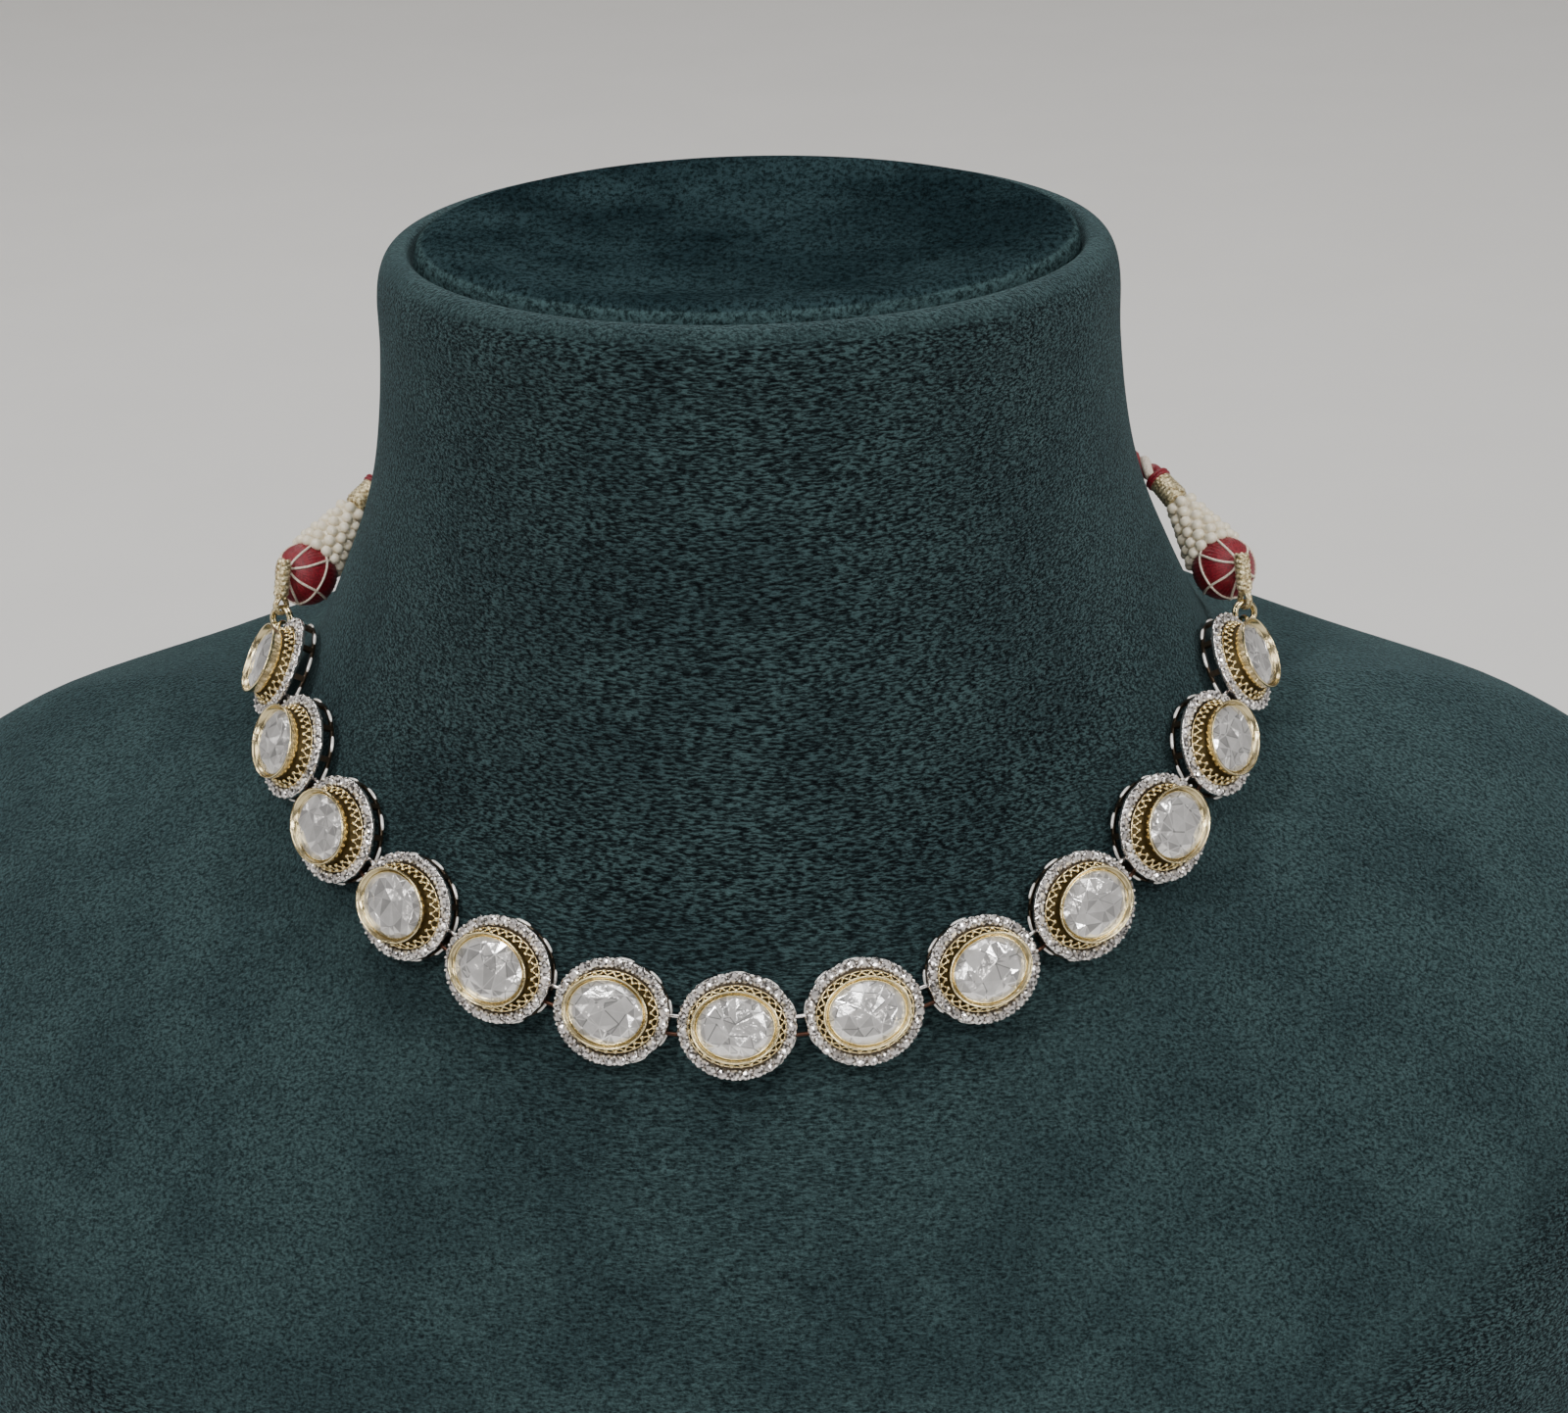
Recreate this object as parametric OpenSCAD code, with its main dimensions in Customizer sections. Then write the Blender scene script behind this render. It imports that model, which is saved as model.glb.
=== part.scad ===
// Necklace of thirteen oval settings on a velvet neck bust, with tied string ends.
// Millimetres, Z up. The origin is on the base, under the middle of the neck.
// The bust faces -Y, and the necklace is the same on both sides of the YZ plane.

/* [Stone] */
// Length of each stone, along the chain
stone_len = 10; // [9:0.1:10.6]
// Width of each stone, across the chain
stone_wid = 8.2; // [7.6:0.1:8.8]
// Height of each stone, from its flat back to its table
stone_h = 1.7; // [1.2:0.1:2]
// Gap between a stone and its collet
stone_gap = 0.1; // [0.06:0.02:0.14]

/* [Collet] */
// How far the rim flares out beyond the stone
rim_flare = 0.9; // [0.6:0.05:1.1]
// Height of the rim above the halo
rim_h = 3.3; // [2.8:0.1:3.8]
// Thickness of the rim's lip
rim_lip = 0.2; // [0.15:0.05:0.3]
// Depth of the stone's edge below the rim
seat_drop = 0.8; // [0.7:0.1:1.1]
// Thickness of the plate behind the stone
back_plate = 0.5; // [0.4:0.1:0.8]
// Height of the sloping skirt between the halo and the collet
skirt_h = 1.2; // [0.8:0.1:1.4]

/* [Halo] */
// Length of each halo, along the chain
halo_len = 16; // [15.6:0.1:17]
// Width of each halo, across the chain
halo_wid = 14.4; // [13.8:0.1:15.4]
// Thickness of the halo band
halo_t = 0.8; // [0.7:0.1:1]

/* [Gallery] */
// Depth of the open gallery, from the front of the halo to its rear rail
gallery_h = 2.6; // [2.5:0.1:3.2]
// Number of windows round the gallery, an even number
window_count = 10; // [8:2:12]
// Width of each post between two windows
post_w = 0.8; // [0.6:0.1:1]
// Thickness of the posts and of the rear rail
gallery_wall = 0.5; // [0.4:0.05:0.6]
// Height of the rear rail
rail_h = 0.5; // [0.4:0.1:0.6]
// How far the gallery is set back from the halo's edge
gallery_inset = 0.3; // [0.2:0.1:0.4]

/* [Chain] */
// Gap between two neighbouring halos
link_gap = 1; // [0.9:0.05:1.2]
// Wire of the oval rings between the settings
ring_wire = 0.6; // [0.5:0.05:0.65]
// Width of the oval rings, across the chain
ring_wid = 3; // [2.8:0.1:3.6]
// Gap between the velvet and the rear rails
rest_gap = 0.7; // [0.6:0.1:1.2]

/* [String ends] */
// Wire of the gold end rings
end_wire = 0.8; // [0.6:0.05:0.85]
// Outer diameter of the gold end rings
end_ring_d = 4.2; // [4:0.1:4.6]
// Wire of the eyes that the end rings pass through
eye_wire = 0.6; // [0.5:0.05:0.7]
// Diameter of the gold braid
braid_d = 2.4; // [2:0.1:2.6]
// Diameter of the thread-wound ball
ball_d = 9.2; // [8.6:0.1:9.6]
// Diameter of the bead cone at its mouth
cone_d = 9.4; // [8.8:0.1:9.6]
// Diameter of the bead cone at its tip
cone_tip_d = 4.6; // [4.2:0.1:5]
// Diameter of each seed bead on the cone
seed_d = 1.7; // [1.5:0.1:1.8]
// Diameter of the whipping where it leaves the cone
whip_d = 4; // [3.6:0.1:4.4]
// Diameter of the twisted cord
cord_d = 2.8; // [2.4:0.1:3]
// Diameter of the slider at the back
slider_d = 4.8; // [4.4:0.1:5]
// Length of the slider at the back
slider_len = 7; // [6:0.5:8]

/* [Bust] */
// Overall width of the bust
bust_w = 284; // [274:1:300]
// Overall height of the bust
bust_h = 190; // [188:1:194]
// Width of the neck
neck_w = 105; // [103:0.5:106]
// Depth of the neck, front to back
neck_d = 100; // [98:0.5:101]
// Reach of the chest in front of the body's own middle
chest_reach = 122; // [116:1:130]
// Reach of the back behind the body's own middle
back_reach = 60; // [58:1:66]
// How far the body's middle lies behind the neck's middle
body_shift = 20; // [16:1:24]
// Height of the cushion on top of the neck
pad_h = 9; // [7:0.5:10]

/* [Hidden] */
$fn = 48;
// Settings on each side of the middle one; the list of nodes names them all.
side_links = 6;
// Small chamfers and gaps between pieces.
clear = 0.1;
// How far soldered pieces run into each other.
overlap = 0.15;
// Play of the gold end rings in their eyes and loops.
eye_play = 0.32;
// Play of the oval rings round the end posts.
ring_play = 0.25;
// Play of the slider on the cord.
slider_play = 0.4;
// Small step for slopes, in rows and degrees.
step = 0.001;

// Top cushion, from its middle outwards.
// Columns: share of the neck's half size, share of the cushion's height below the top.
PAD_ROWS = [
    [0.3, 0.24],
    [0.56, 0.17],
    [0.78, 0],
    [0.845, 0.03],
    [0.872, 0.13],
    [0.88, 0.36],
    [0.902, 0.17],
    [0.94, 0.2],
    [0.968, 0.42],
    [0.982, 0.85]
];

// Neck and body, from the neck's upper edge down to the base.
// Columns: spread in width, front and back, as shares of the way from the neck to the body,
// share of the body's shift, then heights at the side, front and back as shares of the bust's.
BODY_ROWS = [
    [-0.01, -0.015, 0, 0, 0.92, 0.92, 0.92],
    [0, -0.008, 0.1, 0, 0.865, 0.845, 0.865],
    [0.02, 0, 0.2, 0, 0.815, 0.745, 0.825],
    [0.06, 0.035, 0.4, 0, 0.76, 0.62, 0.79],
    [0.15, 0.145, 0.7, 0, 0.67, 0.51, 0.74],
    [0.23, 0.32, 1, 0.15, 0.64, 0.405, 0.695],
    [0.42, 0.555, 1, 0.5, 0.63, 0.305, 0.62],
    [0.665, 0.765, 0.8, 0.8, 0.595, 0.215, 0.525],
    [0.88, 0.9, 0.7, 0.9, 0.515, 0.135, 0.41],
    [0.98, 0.97, 0.8, 1, 0.38, 0.07, 0.265],
    [1, 1, 0.8, 1, 0.17, 0.025, 0.105],
    [0.98, 0.985, 0.8, 1, 0, 0, 0]
];

// Heights pass from the side to the front and back by this power of the cosine.
HEIGHT_POWER = 1.3;
// The necklace lies along this row of the whole table of rings.
CHAIN_ROW = 14;
BUST_SIDES = 48;
RING_STEPS = 2;

// Places on the skin of the bust, as a row between the rings and an angle from the front.
BALL_AT = [13.65, 99];
CONE_TIP_AT = [13.26, 107.2];
WHIP_END_AT = [13.08, 111];
// Row where the cord crosses the back of the neck.
BACK_ROW = 13;
// How far the tip of the cone and the end of the whipping stand off the velvet.
tip_rise = 2;
whip_rise = 1.5;
// Way that the braid leaves the ball, on the right.
HUB_WAY = [0.4, -0.8, 0.45];

function unit(v) = v / norm(v);
function flip_x(p) = [-p[0], p[1], p[2]];

// Rings of the bust, as half width, front, back, middle, and heights at side, front and back.
function pad_ring(row) =
    let (z = bust_h - row[1] * pad_h)
    [row[0] * neck_w / 2, row[0] * neck_d / 2, row[0] * neck_d / 2, 0, z, z, z];
function body_ring(row) = [
    neck_w / 2 + row[0] * (bust_w - neck_w) / 2,
    neck_d / 2 + row[1] * (chest_reach - neck_d / 2),
    neck_d / 2 + row[2] * (back_reach - neck_d / 2),
    row[3] * body_shift,
    row[4] * bust_h,
    row[5] * bust_h,
    row[6] * bust_h
];
RINGS = concat([for (row = PAD_ROWS) pad_ring(row)], [for (row = BODY_ROWS) body_ring(row)]);
LAST_RING = len(RINGS) - 1;

// Smooth curve through the rings, at a place between two of them.
function ring_at(u) =
    let (
        i = min(max(floor(u), 0), LAST_RING - 1),
        t = u - i,
        a = RINGS[max(i - 1, 0)],
        b = RINGS[i],
        c = RINGS[i + 1],
        d = RINGS[min(i + 2, LAST_RING)]
    )
    (2 * b + (c - a) * t + (2 * a - 5 * b + 4 * c - d) * t * t
        + (3 * b - a - 3 * c + d) * t * t * t) / 2;

// Point of a ring at an angle from the front, positive towards +X.
function ring_point(ring, angle) =
    let (
        c = cos(angle),
        reach = c >= 0 ? ring[1] : ring[2],
        far_z = c >= 0 ? ring[5] : ring[6]
    )
    [
        ring[0] * sin(angle),
        ring[3] - reach * c,
        ring[4] + (far_z - ring[4]) * pow(abs(c), HEIGHT_POWER)
    ];
function skin(u, angle) = ring_point(ring_at(u), angle);
function skin_normal(u, angle) =
    unit(cross(
        skin(u, angle + step) - skin(u, angle - step),
        skin(u - step, angle) - skin(u + step, angle)
    ));

// Settings walk along the chain's ring, one pitch apart at the front of the halos.
pitch = halo_len + link_gap;
// The end settings sit a little prouder, where the shoulder is hollow.
end_rise = 0.8;
function link_lift(angle) = rest_gap + gallery_h + end_rise * pow(abs(sin(angle)), 8);
function link_centre(angle) =
    skin(CHAIN_ROW, angle) + link_lift(angle) * skin_normal(CHAIN_ROW, angle);
function next_angle(angle, low, high, turns) =
    let (mid = (low + high) / 2)
    turns == 0 ? mid
    : norm(link_centre(mid) - link_centre(angle)) < pitch ? next_angle(angle, mid, high, turns - 1)
    : next_angle(angle, low, mid, turns - 1);
function walk(angle, count) =
    count == 0 ? [angle]
    : concat([angle], walk(next_angle(angle, angle, angle + 60, 30), count - 1));
SIDE_ANGLES = walk(0, side_links);
LINK_ANGLES = concat([for (i = [side_links:-1:1]) -SIDE_ANGLES[i]], SIDE_ANGLES);

// A place is an origin with its X, Y and Z ways.
function link_place(angle) =
    let (
        z = skin_normal(CHAIN_ROW, angle),
        way = link_centre(angle + step) - link_centre(angle - step),
        x = unit(way - (way * z) * z)
    )
    [link_centre(angle), x, cross(z, x), z];
function in_place(place, p) = place[0] + p[0] * place[1] + p[1] * place[2] + p[2] * place[3];
LINKS = [for (angle = LINK_ANGLES) link_place(angle)];

module put(place) {
    x = place[1];
    y = place[2];
    z = place[3];
    translate(place[0])
        rotate([atan2(y[2], z[2]), -asin(x[2]), atan2(x[1], x[0])])
            children();
}

// Setting

stone_ratio = stone_wid / stone_len;
halo_ratio = halo_wid / halo_len;
seat_r = stone_len / 2 + stone_gap;
stem_r = seat_r + rim_lip;
rim_r = stone_len / 2 + rim_flare;
skirt_spread = 0.55;
skirt_r = rim_r + skirt_spread;
skirt_wall = 0.6;
skirt_step = 0.3;
stem_rise = 0.4;
rim_edge = 0.3;
girdle_z = rim_h - seat_drop;
back_share = 0.55;
stone_back_h = back_share * stone_h;
floor_z = girdle_z - stone_back_h - stone_gap;
rail_r = halo_len / 2 - gallery_inset;
post_r = rail_r - gallery_wall / 2;
window_top = -halo_t;
window_base = rail_h - gallery_h;
window_mid = (window_top + window_base) / 2;
plate_set = 0.8;
plate_r = seat_r - plate_set;

module oval(ratio) {
    scale([1, ratio, 1])
        rotate_extrude()
            children();
}

module halo_band() {
    difference() {
        oval(halo_ratio)
            polygon([
                [0, -halo_t],
                [halo_len / 2 - clear, -halo_t],
                [halo_len / 2, clear - halo_t],
                [halo_len / 2, -clear],
                [halo_len / 2 - clear, 0],
                [0, 0]
            ]);
        oval(stone_ratio)
            translate([0, -2 * halo_t])
                square([skirt_r - skirt_wall + clear, 3 * halo_t]);
    }
}

module rear_rail() {
    oval(halo_ratio)
        translate([rail_r - gallery_wall, -gallery_h])
            square([gallery_wall, rail_h]);
}

module gallery_posts() {
    for (i = [0:window_count - 1]) {
        a = i * 360 / window_count;
        translate([post_r * cos(a), post_r * halo_ratio * sin(a), window_mid])
            rotate([0, 0, atan2(sin(a), halo_ratio * cos(a))])
                cube([gallery_wall, post_w, window_top - window_base + 2 * overlap], center = true);
    }
}

module collet() {
    oval(stone_ratio)
        polygon([
            [0, floor_z - back_plate],
            [plate_r, floor_z - back_plate],
            [skirt_r - skirt_wall, -overlap],
            [skirt_r, -overlap],
            [skirt_r, overlap],
            [stem_r + skirt_step, skirt_h],
            [stem_r, skirt_h],
            [stem_r, skirt_h + stem_rise],
            [rim_r, rim_h - rim_edge],
            [rim_r, rim_h],
            [rim_r - rim_lip, rim_h],
            [seat_r, girdle_z],
            [seat_r, floor_z],
            [0, floor_z]
        ]);
}

// Eye at the outer end of the last setting, for the gold end ring.
eye_r = (end_wire + eye_wire) / 2 + eye_play;
eye_x = halo_len / 2 + eye_r - overlap;
eye_z = -halo_t / 2;
module end_eye() {
    put(place_along(eye_c, end_way, end_link[2]))
        rotate([90, 0, 0])
            hoop(eye_r, eye_wire);
}

// Round wire bent to a round ring, in the XY plane.
module hoop(r, wire) {
    rotate_extrude()
        translate([r, 0])
            circle(d = wire);
}

module setting(i) {
    color("goldenrod")
        union() {
            put(LINKS[i])
                union() {
                    halo_band();
                    rear_rail();
                    gallery_posts();
                    collet();
                }
            if (i == 0)
                both(-1)
                    end_eye();
            if (i == last_link)
                end_eye();
        }
}

// Stone

STONE_SIDES = 8;
table_share = 0.5;
crown_share = 0.8;
table_z = girdle_z + stone_h - stone_back_h;
crown_drop = 0.3;
crown_z = table_z - crown_drop;
edge_t = 0.15;
function stone_ring(share, z, count, turn) = [
    for (k = [0:count - 1])
        let (a = (k + turn) * 360 / count)
        [share * stone_len / 2 * cos(a), share * stone_wid / 2 * sin(a), z]
];
STONE_POINTS = concat(
    stone_ring(table_share, table_z, STONE_SIDES, 0),
    stone_ring(crown_share, crown_z, STONE_SIDES, 0.5),
    stone_ring(1, girdle_z, 2 * STONE_SIDES, 0),
    stone_ring(1, girdle_z - edge_t, 2 * STONE_SIDES, 0),
    stone_ring(table_share, girdle_z - stone_back_h, STONE_SIDES, 0.5)
);
// First point of the crown, edge, lower edge and back in the list above.
crown_i = STONE_SIDES;
edge_i = 2 * STONE_SIDES;
under_i = 4 * STONE_SIDES;
back_i = 6 * STONE_SIDES;
function wrap(k) = (k + STONE_SIDES) % STONE_SIDES;
function wrap2(k) = (k + 2 * STONE_SIDES) % (2 * STONE_SIDES);
STONE_FACES = concat(
    [[for (k = [STONE_SIDES - 1:-1:0]) k]],
    [for (k = [0:STONE_SIDES - 1]) [k, wrap(k + 1), crown_i + k]],
    [for (k = [0:STONE_SIDES - 1]) [k, crown_i + k, crown_i + wrap(k - 1)]],
    [for (k = [0:STONE_SIDES - 1]) [crown_i + wrap(k - 1), crown_i + k, edge_i + 2 * k]],
    [for (k = [0:STONE_SIDES - 1]) [crown_i + k, edge_i + 2 * k + 1, edge_i + 2 * k]],
    [for (k = [0:STONE_SIDES - 1]) [crown_i + k, edge_i + wrap2(2 * k + 2), edge_i + 2 * k + 1]],
    [for (k = [0:2 * STONE_SIDES - 1]) [edge_i + k, edge_i + wrap2(k + 1), under_i + wrap2(k + 1), under_i + k]],
    [for (k = [0:STONE_SIDES - 1]) [back_i + k, under_i + 2 * k, under_i + 2 * k + 1]],
    [for (k = [0:STONE_SIDES - 1]) [back_i + k, under_i + 2 * k + 1, under_i + wrap2(2 * k + 2)]],
    [for (k = [0:STONE_SIDES - 1]) [back_i + wrap(k - 1), under_i + 2 * k, back_i + k]],
    [[for (k = [0:STONE_SIDES - 1]) back_i + k]]
);

module stone(i) {
    color("ghostwhite")
        put(LINKS[i])
            polyhedron(STONE_POINTS, STONE_FACES);
}

// Oval ring that joins two settings through the end windows of their galleries

module link_ring(i) {
    a = in_place(LINKS[i], [post_r, 0, window_mid]);
    b = in_place(LINKS[i + 1], [-post_r, 0, window_mid]);
    way = b - a;
    x = unit(way);
    lean = LINKS[i][3] + LINKS[i + 1][3];
    z = unit(lean - (lean * x) * x);
    half_len = (norm(way) + gallery_wall + ring_wire) / 2 + ring_play;
    half_wid = (ring_wid - ring_wire) / 2;
    straight = half_len - half_wid;
    color("gold")
        put([(a + b) / 2, x, cross(z, x), z])
            union()
                for (side = [-1, 1])
                    both(side) {
                        translate([straight, 0, 0])
                            rotate([0, 0, -90])
                                rotate_extrude(angle = 180)
                                    translate([half_wid, 0])
                                        circle(d = ring_wire);
                        for (edge = [-half_wid, half_wid])
                            translate([0, edge, 0])
                                along_x()
                                    cylinder(d = ring_wire, h = straight);
                    }
}

// String ends, given for the right side and mirrored for the left

function on_skin(at, lift) = skin(at[0], at[1]) + lift * skin_normal(at[0], at[1]);
ball_c = on_skin(BALL_AT, ball_d / 2 + rest_gap);
cone_tip = on_skin(CONE_TIP_AT, cone_tip_d / 2 + tip_rise);
whip_end = on_skin(WHIP_END_AT, whip_d / 2 + whip_rise);
hub_way = unit(HUB_WAY);

last_link = 2 * side_links;
end_link = LINKS[last_link];
end_ring_r = (end_ring_d - end_wire) / 2;
eye_c = in_place(end_link, [eye_x, 0, eye_z]);
end_way = unit(ball_c + (ball_d / 2 + braid_d) * hub_way - eye_c);
end_ring_c = eye_c + (end_ring_r - eye_play / 2) * end_way;
loop_wire = 0.8;
braid_foot = 0.7;
loop_r = (end_wire + loop_wire) / 2 + eye_play;
loop_c = end_ring_c + (end_ring_r + eye_play / 2) * end_way;
hub = ball_c + (ball_d / 2 + braid_d / 2 + clear) * hub_way;

// A place whose X way is given, with its Y way near another.
function place_along(c, way, near) =
    let (x = unit(way), y = unit(near - (near * x) * x))
    [c, x, y, cross(x, y)];

module both(side) {
    mirror([side < 0 ? 1 : 0, 0, 0])
        children();
}

module end_ring(side) {
    color("gold")
        both(side)
            put(place_along(end_ring_c, end_way, end_link[2]))
                hoop(end_ring_r, end_wire);
}

module braid(side) {
    start = place_along(loop_c, end_way, end_link[2]);
    run = hub - in_place(start, [loop_r, 0, 0]);
    color("palegoldenrod")
        both(side)
            union() {
                put(start)
                    rotate([90, 0, 0])
                        hoop(loop_r, loop_wire);
                put(place_along(in_place(start, [loop_r, 0, 0]), run, end_link[2]))
                    along_x()
                        rotate_extrude()
                            polygon([
                                [0, 0],
                                [braid_foot * braid_d / 2, 0],
                                [braid_d / 2, loop_wire],
                                for (a = [0:30:90])
                                    [braid_d / 2 * cos(a), norm(run) + braid_d / 2 * sin(a)]
                            ]);
            }
}

module ball(side) {
    color("darkred")
        both(side)
            translate(ball_c)
                sphere(d = ball_d);
}

// The cone is a round solid along its own Z, from the ball's middle to the tip.
cone_way = cone_tip - ball_c;
cone_axis = place_along(ball_c, cone_way, [0, 0, 1]);
cone_len = norm(cone_way);
// The cone's mouth hugs the ball, and its rounds of beads nest a little.
mouth_share = 0.28;
mouth_gap = 0.2;
nest_share = 0.86;
cone_start = mouth_share * ball_d;
bead_sides = 20;
cone_rows = floor((cone_len - cone_start) / (nest_share * seed_d));
module along_x() {
    rotate([0, 90, 0])
        children();
}

module cone(side) {
    row = (cone_len - cone_start) / cone_rows;
    color("ivory")
        both(side)
            put(cone_axis)
                along_x()
                    difference() {
                        rotate_extrude()
                            union() {
                                polygon([
                                    [0, cone_start + row / 2],
                                    [(cone_d - seed_d) / 2, cone_start + row / 2],
                                    [(cone_tip_d - seed_d) / 2, cone_len],
                                    [0, cone_len]
                                ]);
                                for (k = [0:cone_rows - 1]) {
                                    t = (k + 0.5) / cone_rows;
                                    translate([(cone_d + (cone_tip_d - cone_d) * t - seed_d) / 2,
                                        cone_start + (k + 0.5) * row])
                                        circle(d = seed_d, $fn = bead_sides);
                                }
                            }
                        sphere(d = ball_d + 2 * mouth_gap);
                    }
}

whip_way = whip_end - cone_tip;
whip_wrap = 0.3;
whip_tip_d = cord_d + 2 * whip_wrap;
whip_start = 0.9;
whip_nose = 0.8;
nose_share = 0.6;
module whipping(side) {
    color("khaki")
        both(side)
            put(place_along(cone_tip, whip_way, [0, 0, 1]))
                along_x()
                    rotate_extrude()
                        polygon([
                            [0, whip_start],
                            [nose_share * whip_d / 2, whip_start],
                            [whip_d / 2, whip_start + whip_nose],
                            [whip_tip_d / 2, norm(whip_way)],
                            [0, norm(whip_way)]
                        ]);
}

// Cord round the back of the neck

CORD_SIDES = 8;
CORD_RINGS = 36;
cord_r = cord_d / 2;
// Shares of half the cord's way: under the slider, the slope beside it, and the end slope.
slider_share = 0.06;
slope_share = 0.125;
end_share = 0.25;
// Share where the cord starts to turn into the whipping's own way.
turn_share = 0.85;
// Gap between the cord and the whipping that it comes out of.
cord_gap = 0.2;
function cord_on_skin(s) =
    let (
        u = BACK_ROW + (WHIP_END_AT[0] - BACK_ROW) * s,
        a = 180 - (180 - WHIP_END_AT[1]) * s,
        middle = cos(min(max(s - slider_share, 0) / slope_share, 1) * 90),
        end = max(0, 1 - (1 - s) / end_share),
        middle_lift = slider_d / 2 - cord_r,
        end_lift = whip_d / 2 + whip_rise - rest_gap - cord_r
    )
    on_skin([u, a], rest_gap + cord_r + middle_lift * middle + end_lift * end);
cord_half = norm(cord_on_skin(1 - end_share) - whip_end) / end_share;
function cord_point(t) =
    let (
        s = abs(t),
        skin_p = cord_on_skin(s),
        line_p = whip_end + (1 - s) * cord_half * unit(whip_way),
        w = pow(max(0, (s - turn_share) / (1 - turn_share)), 2),
        p = skin_p + w * (line_p - skin_p)
    )
    t < 0 ? flip_x(p) : p;
cord_end = 1 - cord_gap / cord_half;
// The route's points lie closer together near its ends.
end_crowd = 0.5;
function crowd(x) = (1 + end_crowd) * x - end_crowd * pow(x, 3);
CORD_ROUTE = [for (k = [0:CORD_RINGS - 1]) cord_point(crowd(2 * k / (CORD_RINGS - 1) - 1) * cord_end)];
function cord_way(k) =
    unit(CORD_ROUTE[min(k + 1, CORD_RINGS - 1)] - CORD_ROUTE[max(k - 1, 0)]);
function cord_ring(k) =
    let (x = cord_way(k), y = unit(cross([0, 0, 1], x)), z = cross(x, y))
    [for (j = [0:CORD_SIDES - 1])
        let (a = (j + 0.5) * 360 / CORD_SIDES)
        CORD_ROUTE[k] + cord_r * (cos(a) * y + sin(a) * z)];

// Faces of a tube of rings, each quad as two triangles, with a flat face at each end.
function tube_faces(rings, sides) = concat(
    [[for (j = [0:sides - 1]) j]],
    [for (k = [0:rings - 2], j = [0:sides - 1])
        let (n = (j + 1) % sides)
        [k * sides + j, (k + 1) * sides + j, (k + 1) * sides + n]],
    [for (k = [0:rings - 2], j = [0:sides - 1])
        let (n = (j + 1) % sides)
        [k * sides + j, (k + 1) * sides + n, k * sides + n]],
    [[for (j = [sides - 1:-1:0]) (rings - 1) * sides + j]]
);

module dori_cord() {
    color("firebrick")
        polyhedron(
            [for (k = [0:CORD_RINGS - 1]) each cord_ring(k)],
            tube_faces(CORD_RINGS, CORD_SIDES)
        );
}

module slider() {
    c = cord_point(0);
    color("khaki")
        translate(c)
            along_x()
                difference() {
                    cylinder(d = slider_d, h = slider_len, center = true);
                    cylinder(d = cord_d + 2 * slider_play, h = slider_len + 2, center = true);
                }
}

// Bust

BUST_RINGS = LAST_RING * RING_STEPS + 1;
module bust() {
    color("darkslategray")
        polyhedron(
            [for (k = [BUST_RINGS - 1:-1:0], j = [0:BUST_SIDES - 1])
                skin(k / RING_STEPS, j * 360 / BUST_SIDES)],
            tube_faces(BUST_RINGS, BUST_SIDES)
        );
}

bust();
setting(0);  // setting_01
setting(1);  // setting_02
setting(2);  // setting_03
setting(3);  // setting_04
setting(4);  // setting_05
setting(5);  // setting_06
setting(6);  // setting_07
setting(7);  // setting_08
setting(8);  // setting_09
setting(9);  // setting_10
setting(10);  // setting_11
setting(11);  // setting_12
setting(12);  // setting_13
stone(0);  // stone_01
stone(1);  // stone_02
stone(2);  // stone_03
stone(3);  // stone_04
stone(4);  // stone_05
stone(5);  // stone_06
stone(6);  // stone_07
stone(7);  // stone_08
stone(8);  // stone_09
stone(9);  // stone_10
stone(10);  // stone_11
stone(11);  // stone_12
stone(12);  // stone_13
link_ring(0);  // link_ring_01
link_ring(1);  // link_ring_02
link_ring(2);  // link_ring_03
link_ring(3);  // link_ring_04
link_ring(4);  // link_ring_05
link_ring(5);  // link_ring_06
link_ring(6);  // link_ring_07
link_ring(7);  // link_ring_08
link_ring(8);  // link_ring_09
link_ring(9);  // link_ring_10
link_ring(10);  // link_ring_11
link_ring(11);  // link_ring_12
end_ring(-1);  // end_ring_left
end_ring(1);  // end_ring_right
braid(-1);  // braid_left
braid(1);  // braid_right
ball(-1);  // ball_left
ball(1);  // ball_right
cone(-1);  // cone_left
cone(1);  // cone_right
whipping(-1);  // whipping_left
whipping(1);  // whipping_right
dori_cord();
slider();
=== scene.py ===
"""Necklace of thirteen oval stone settings on a velvet neck bust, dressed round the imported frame.

Shapes are worked out in millimetres in the frame of the CAD model and scaled to metres at the end.
"""
import math
import random

import bmesh
import bpy
import numpy as np
from mathutils import Matrix, Vector
from mathutils.geometry import delaunay_2d_cdt


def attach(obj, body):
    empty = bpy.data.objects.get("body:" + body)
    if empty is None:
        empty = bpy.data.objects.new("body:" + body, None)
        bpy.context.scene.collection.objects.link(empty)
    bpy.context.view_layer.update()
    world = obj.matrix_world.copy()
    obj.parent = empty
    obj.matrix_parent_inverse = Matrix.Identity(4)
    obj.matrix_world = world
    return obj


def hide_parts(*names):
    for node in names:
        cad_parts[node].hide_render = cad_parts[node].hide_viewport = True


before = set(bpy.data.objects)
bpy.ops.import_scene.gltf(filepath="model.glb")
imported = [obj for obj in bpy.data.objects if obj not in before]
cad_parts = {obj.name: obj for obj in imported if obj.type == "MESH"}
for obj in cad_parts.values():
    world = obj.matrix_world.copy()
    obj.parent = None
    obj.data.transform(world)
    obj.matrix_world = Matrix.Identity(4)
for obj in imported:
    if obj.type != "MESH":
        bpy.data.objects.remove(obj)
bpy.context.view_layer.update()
MM = 0.001

# Sizes of the part, in millimetres, as in the CAD model

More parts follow.
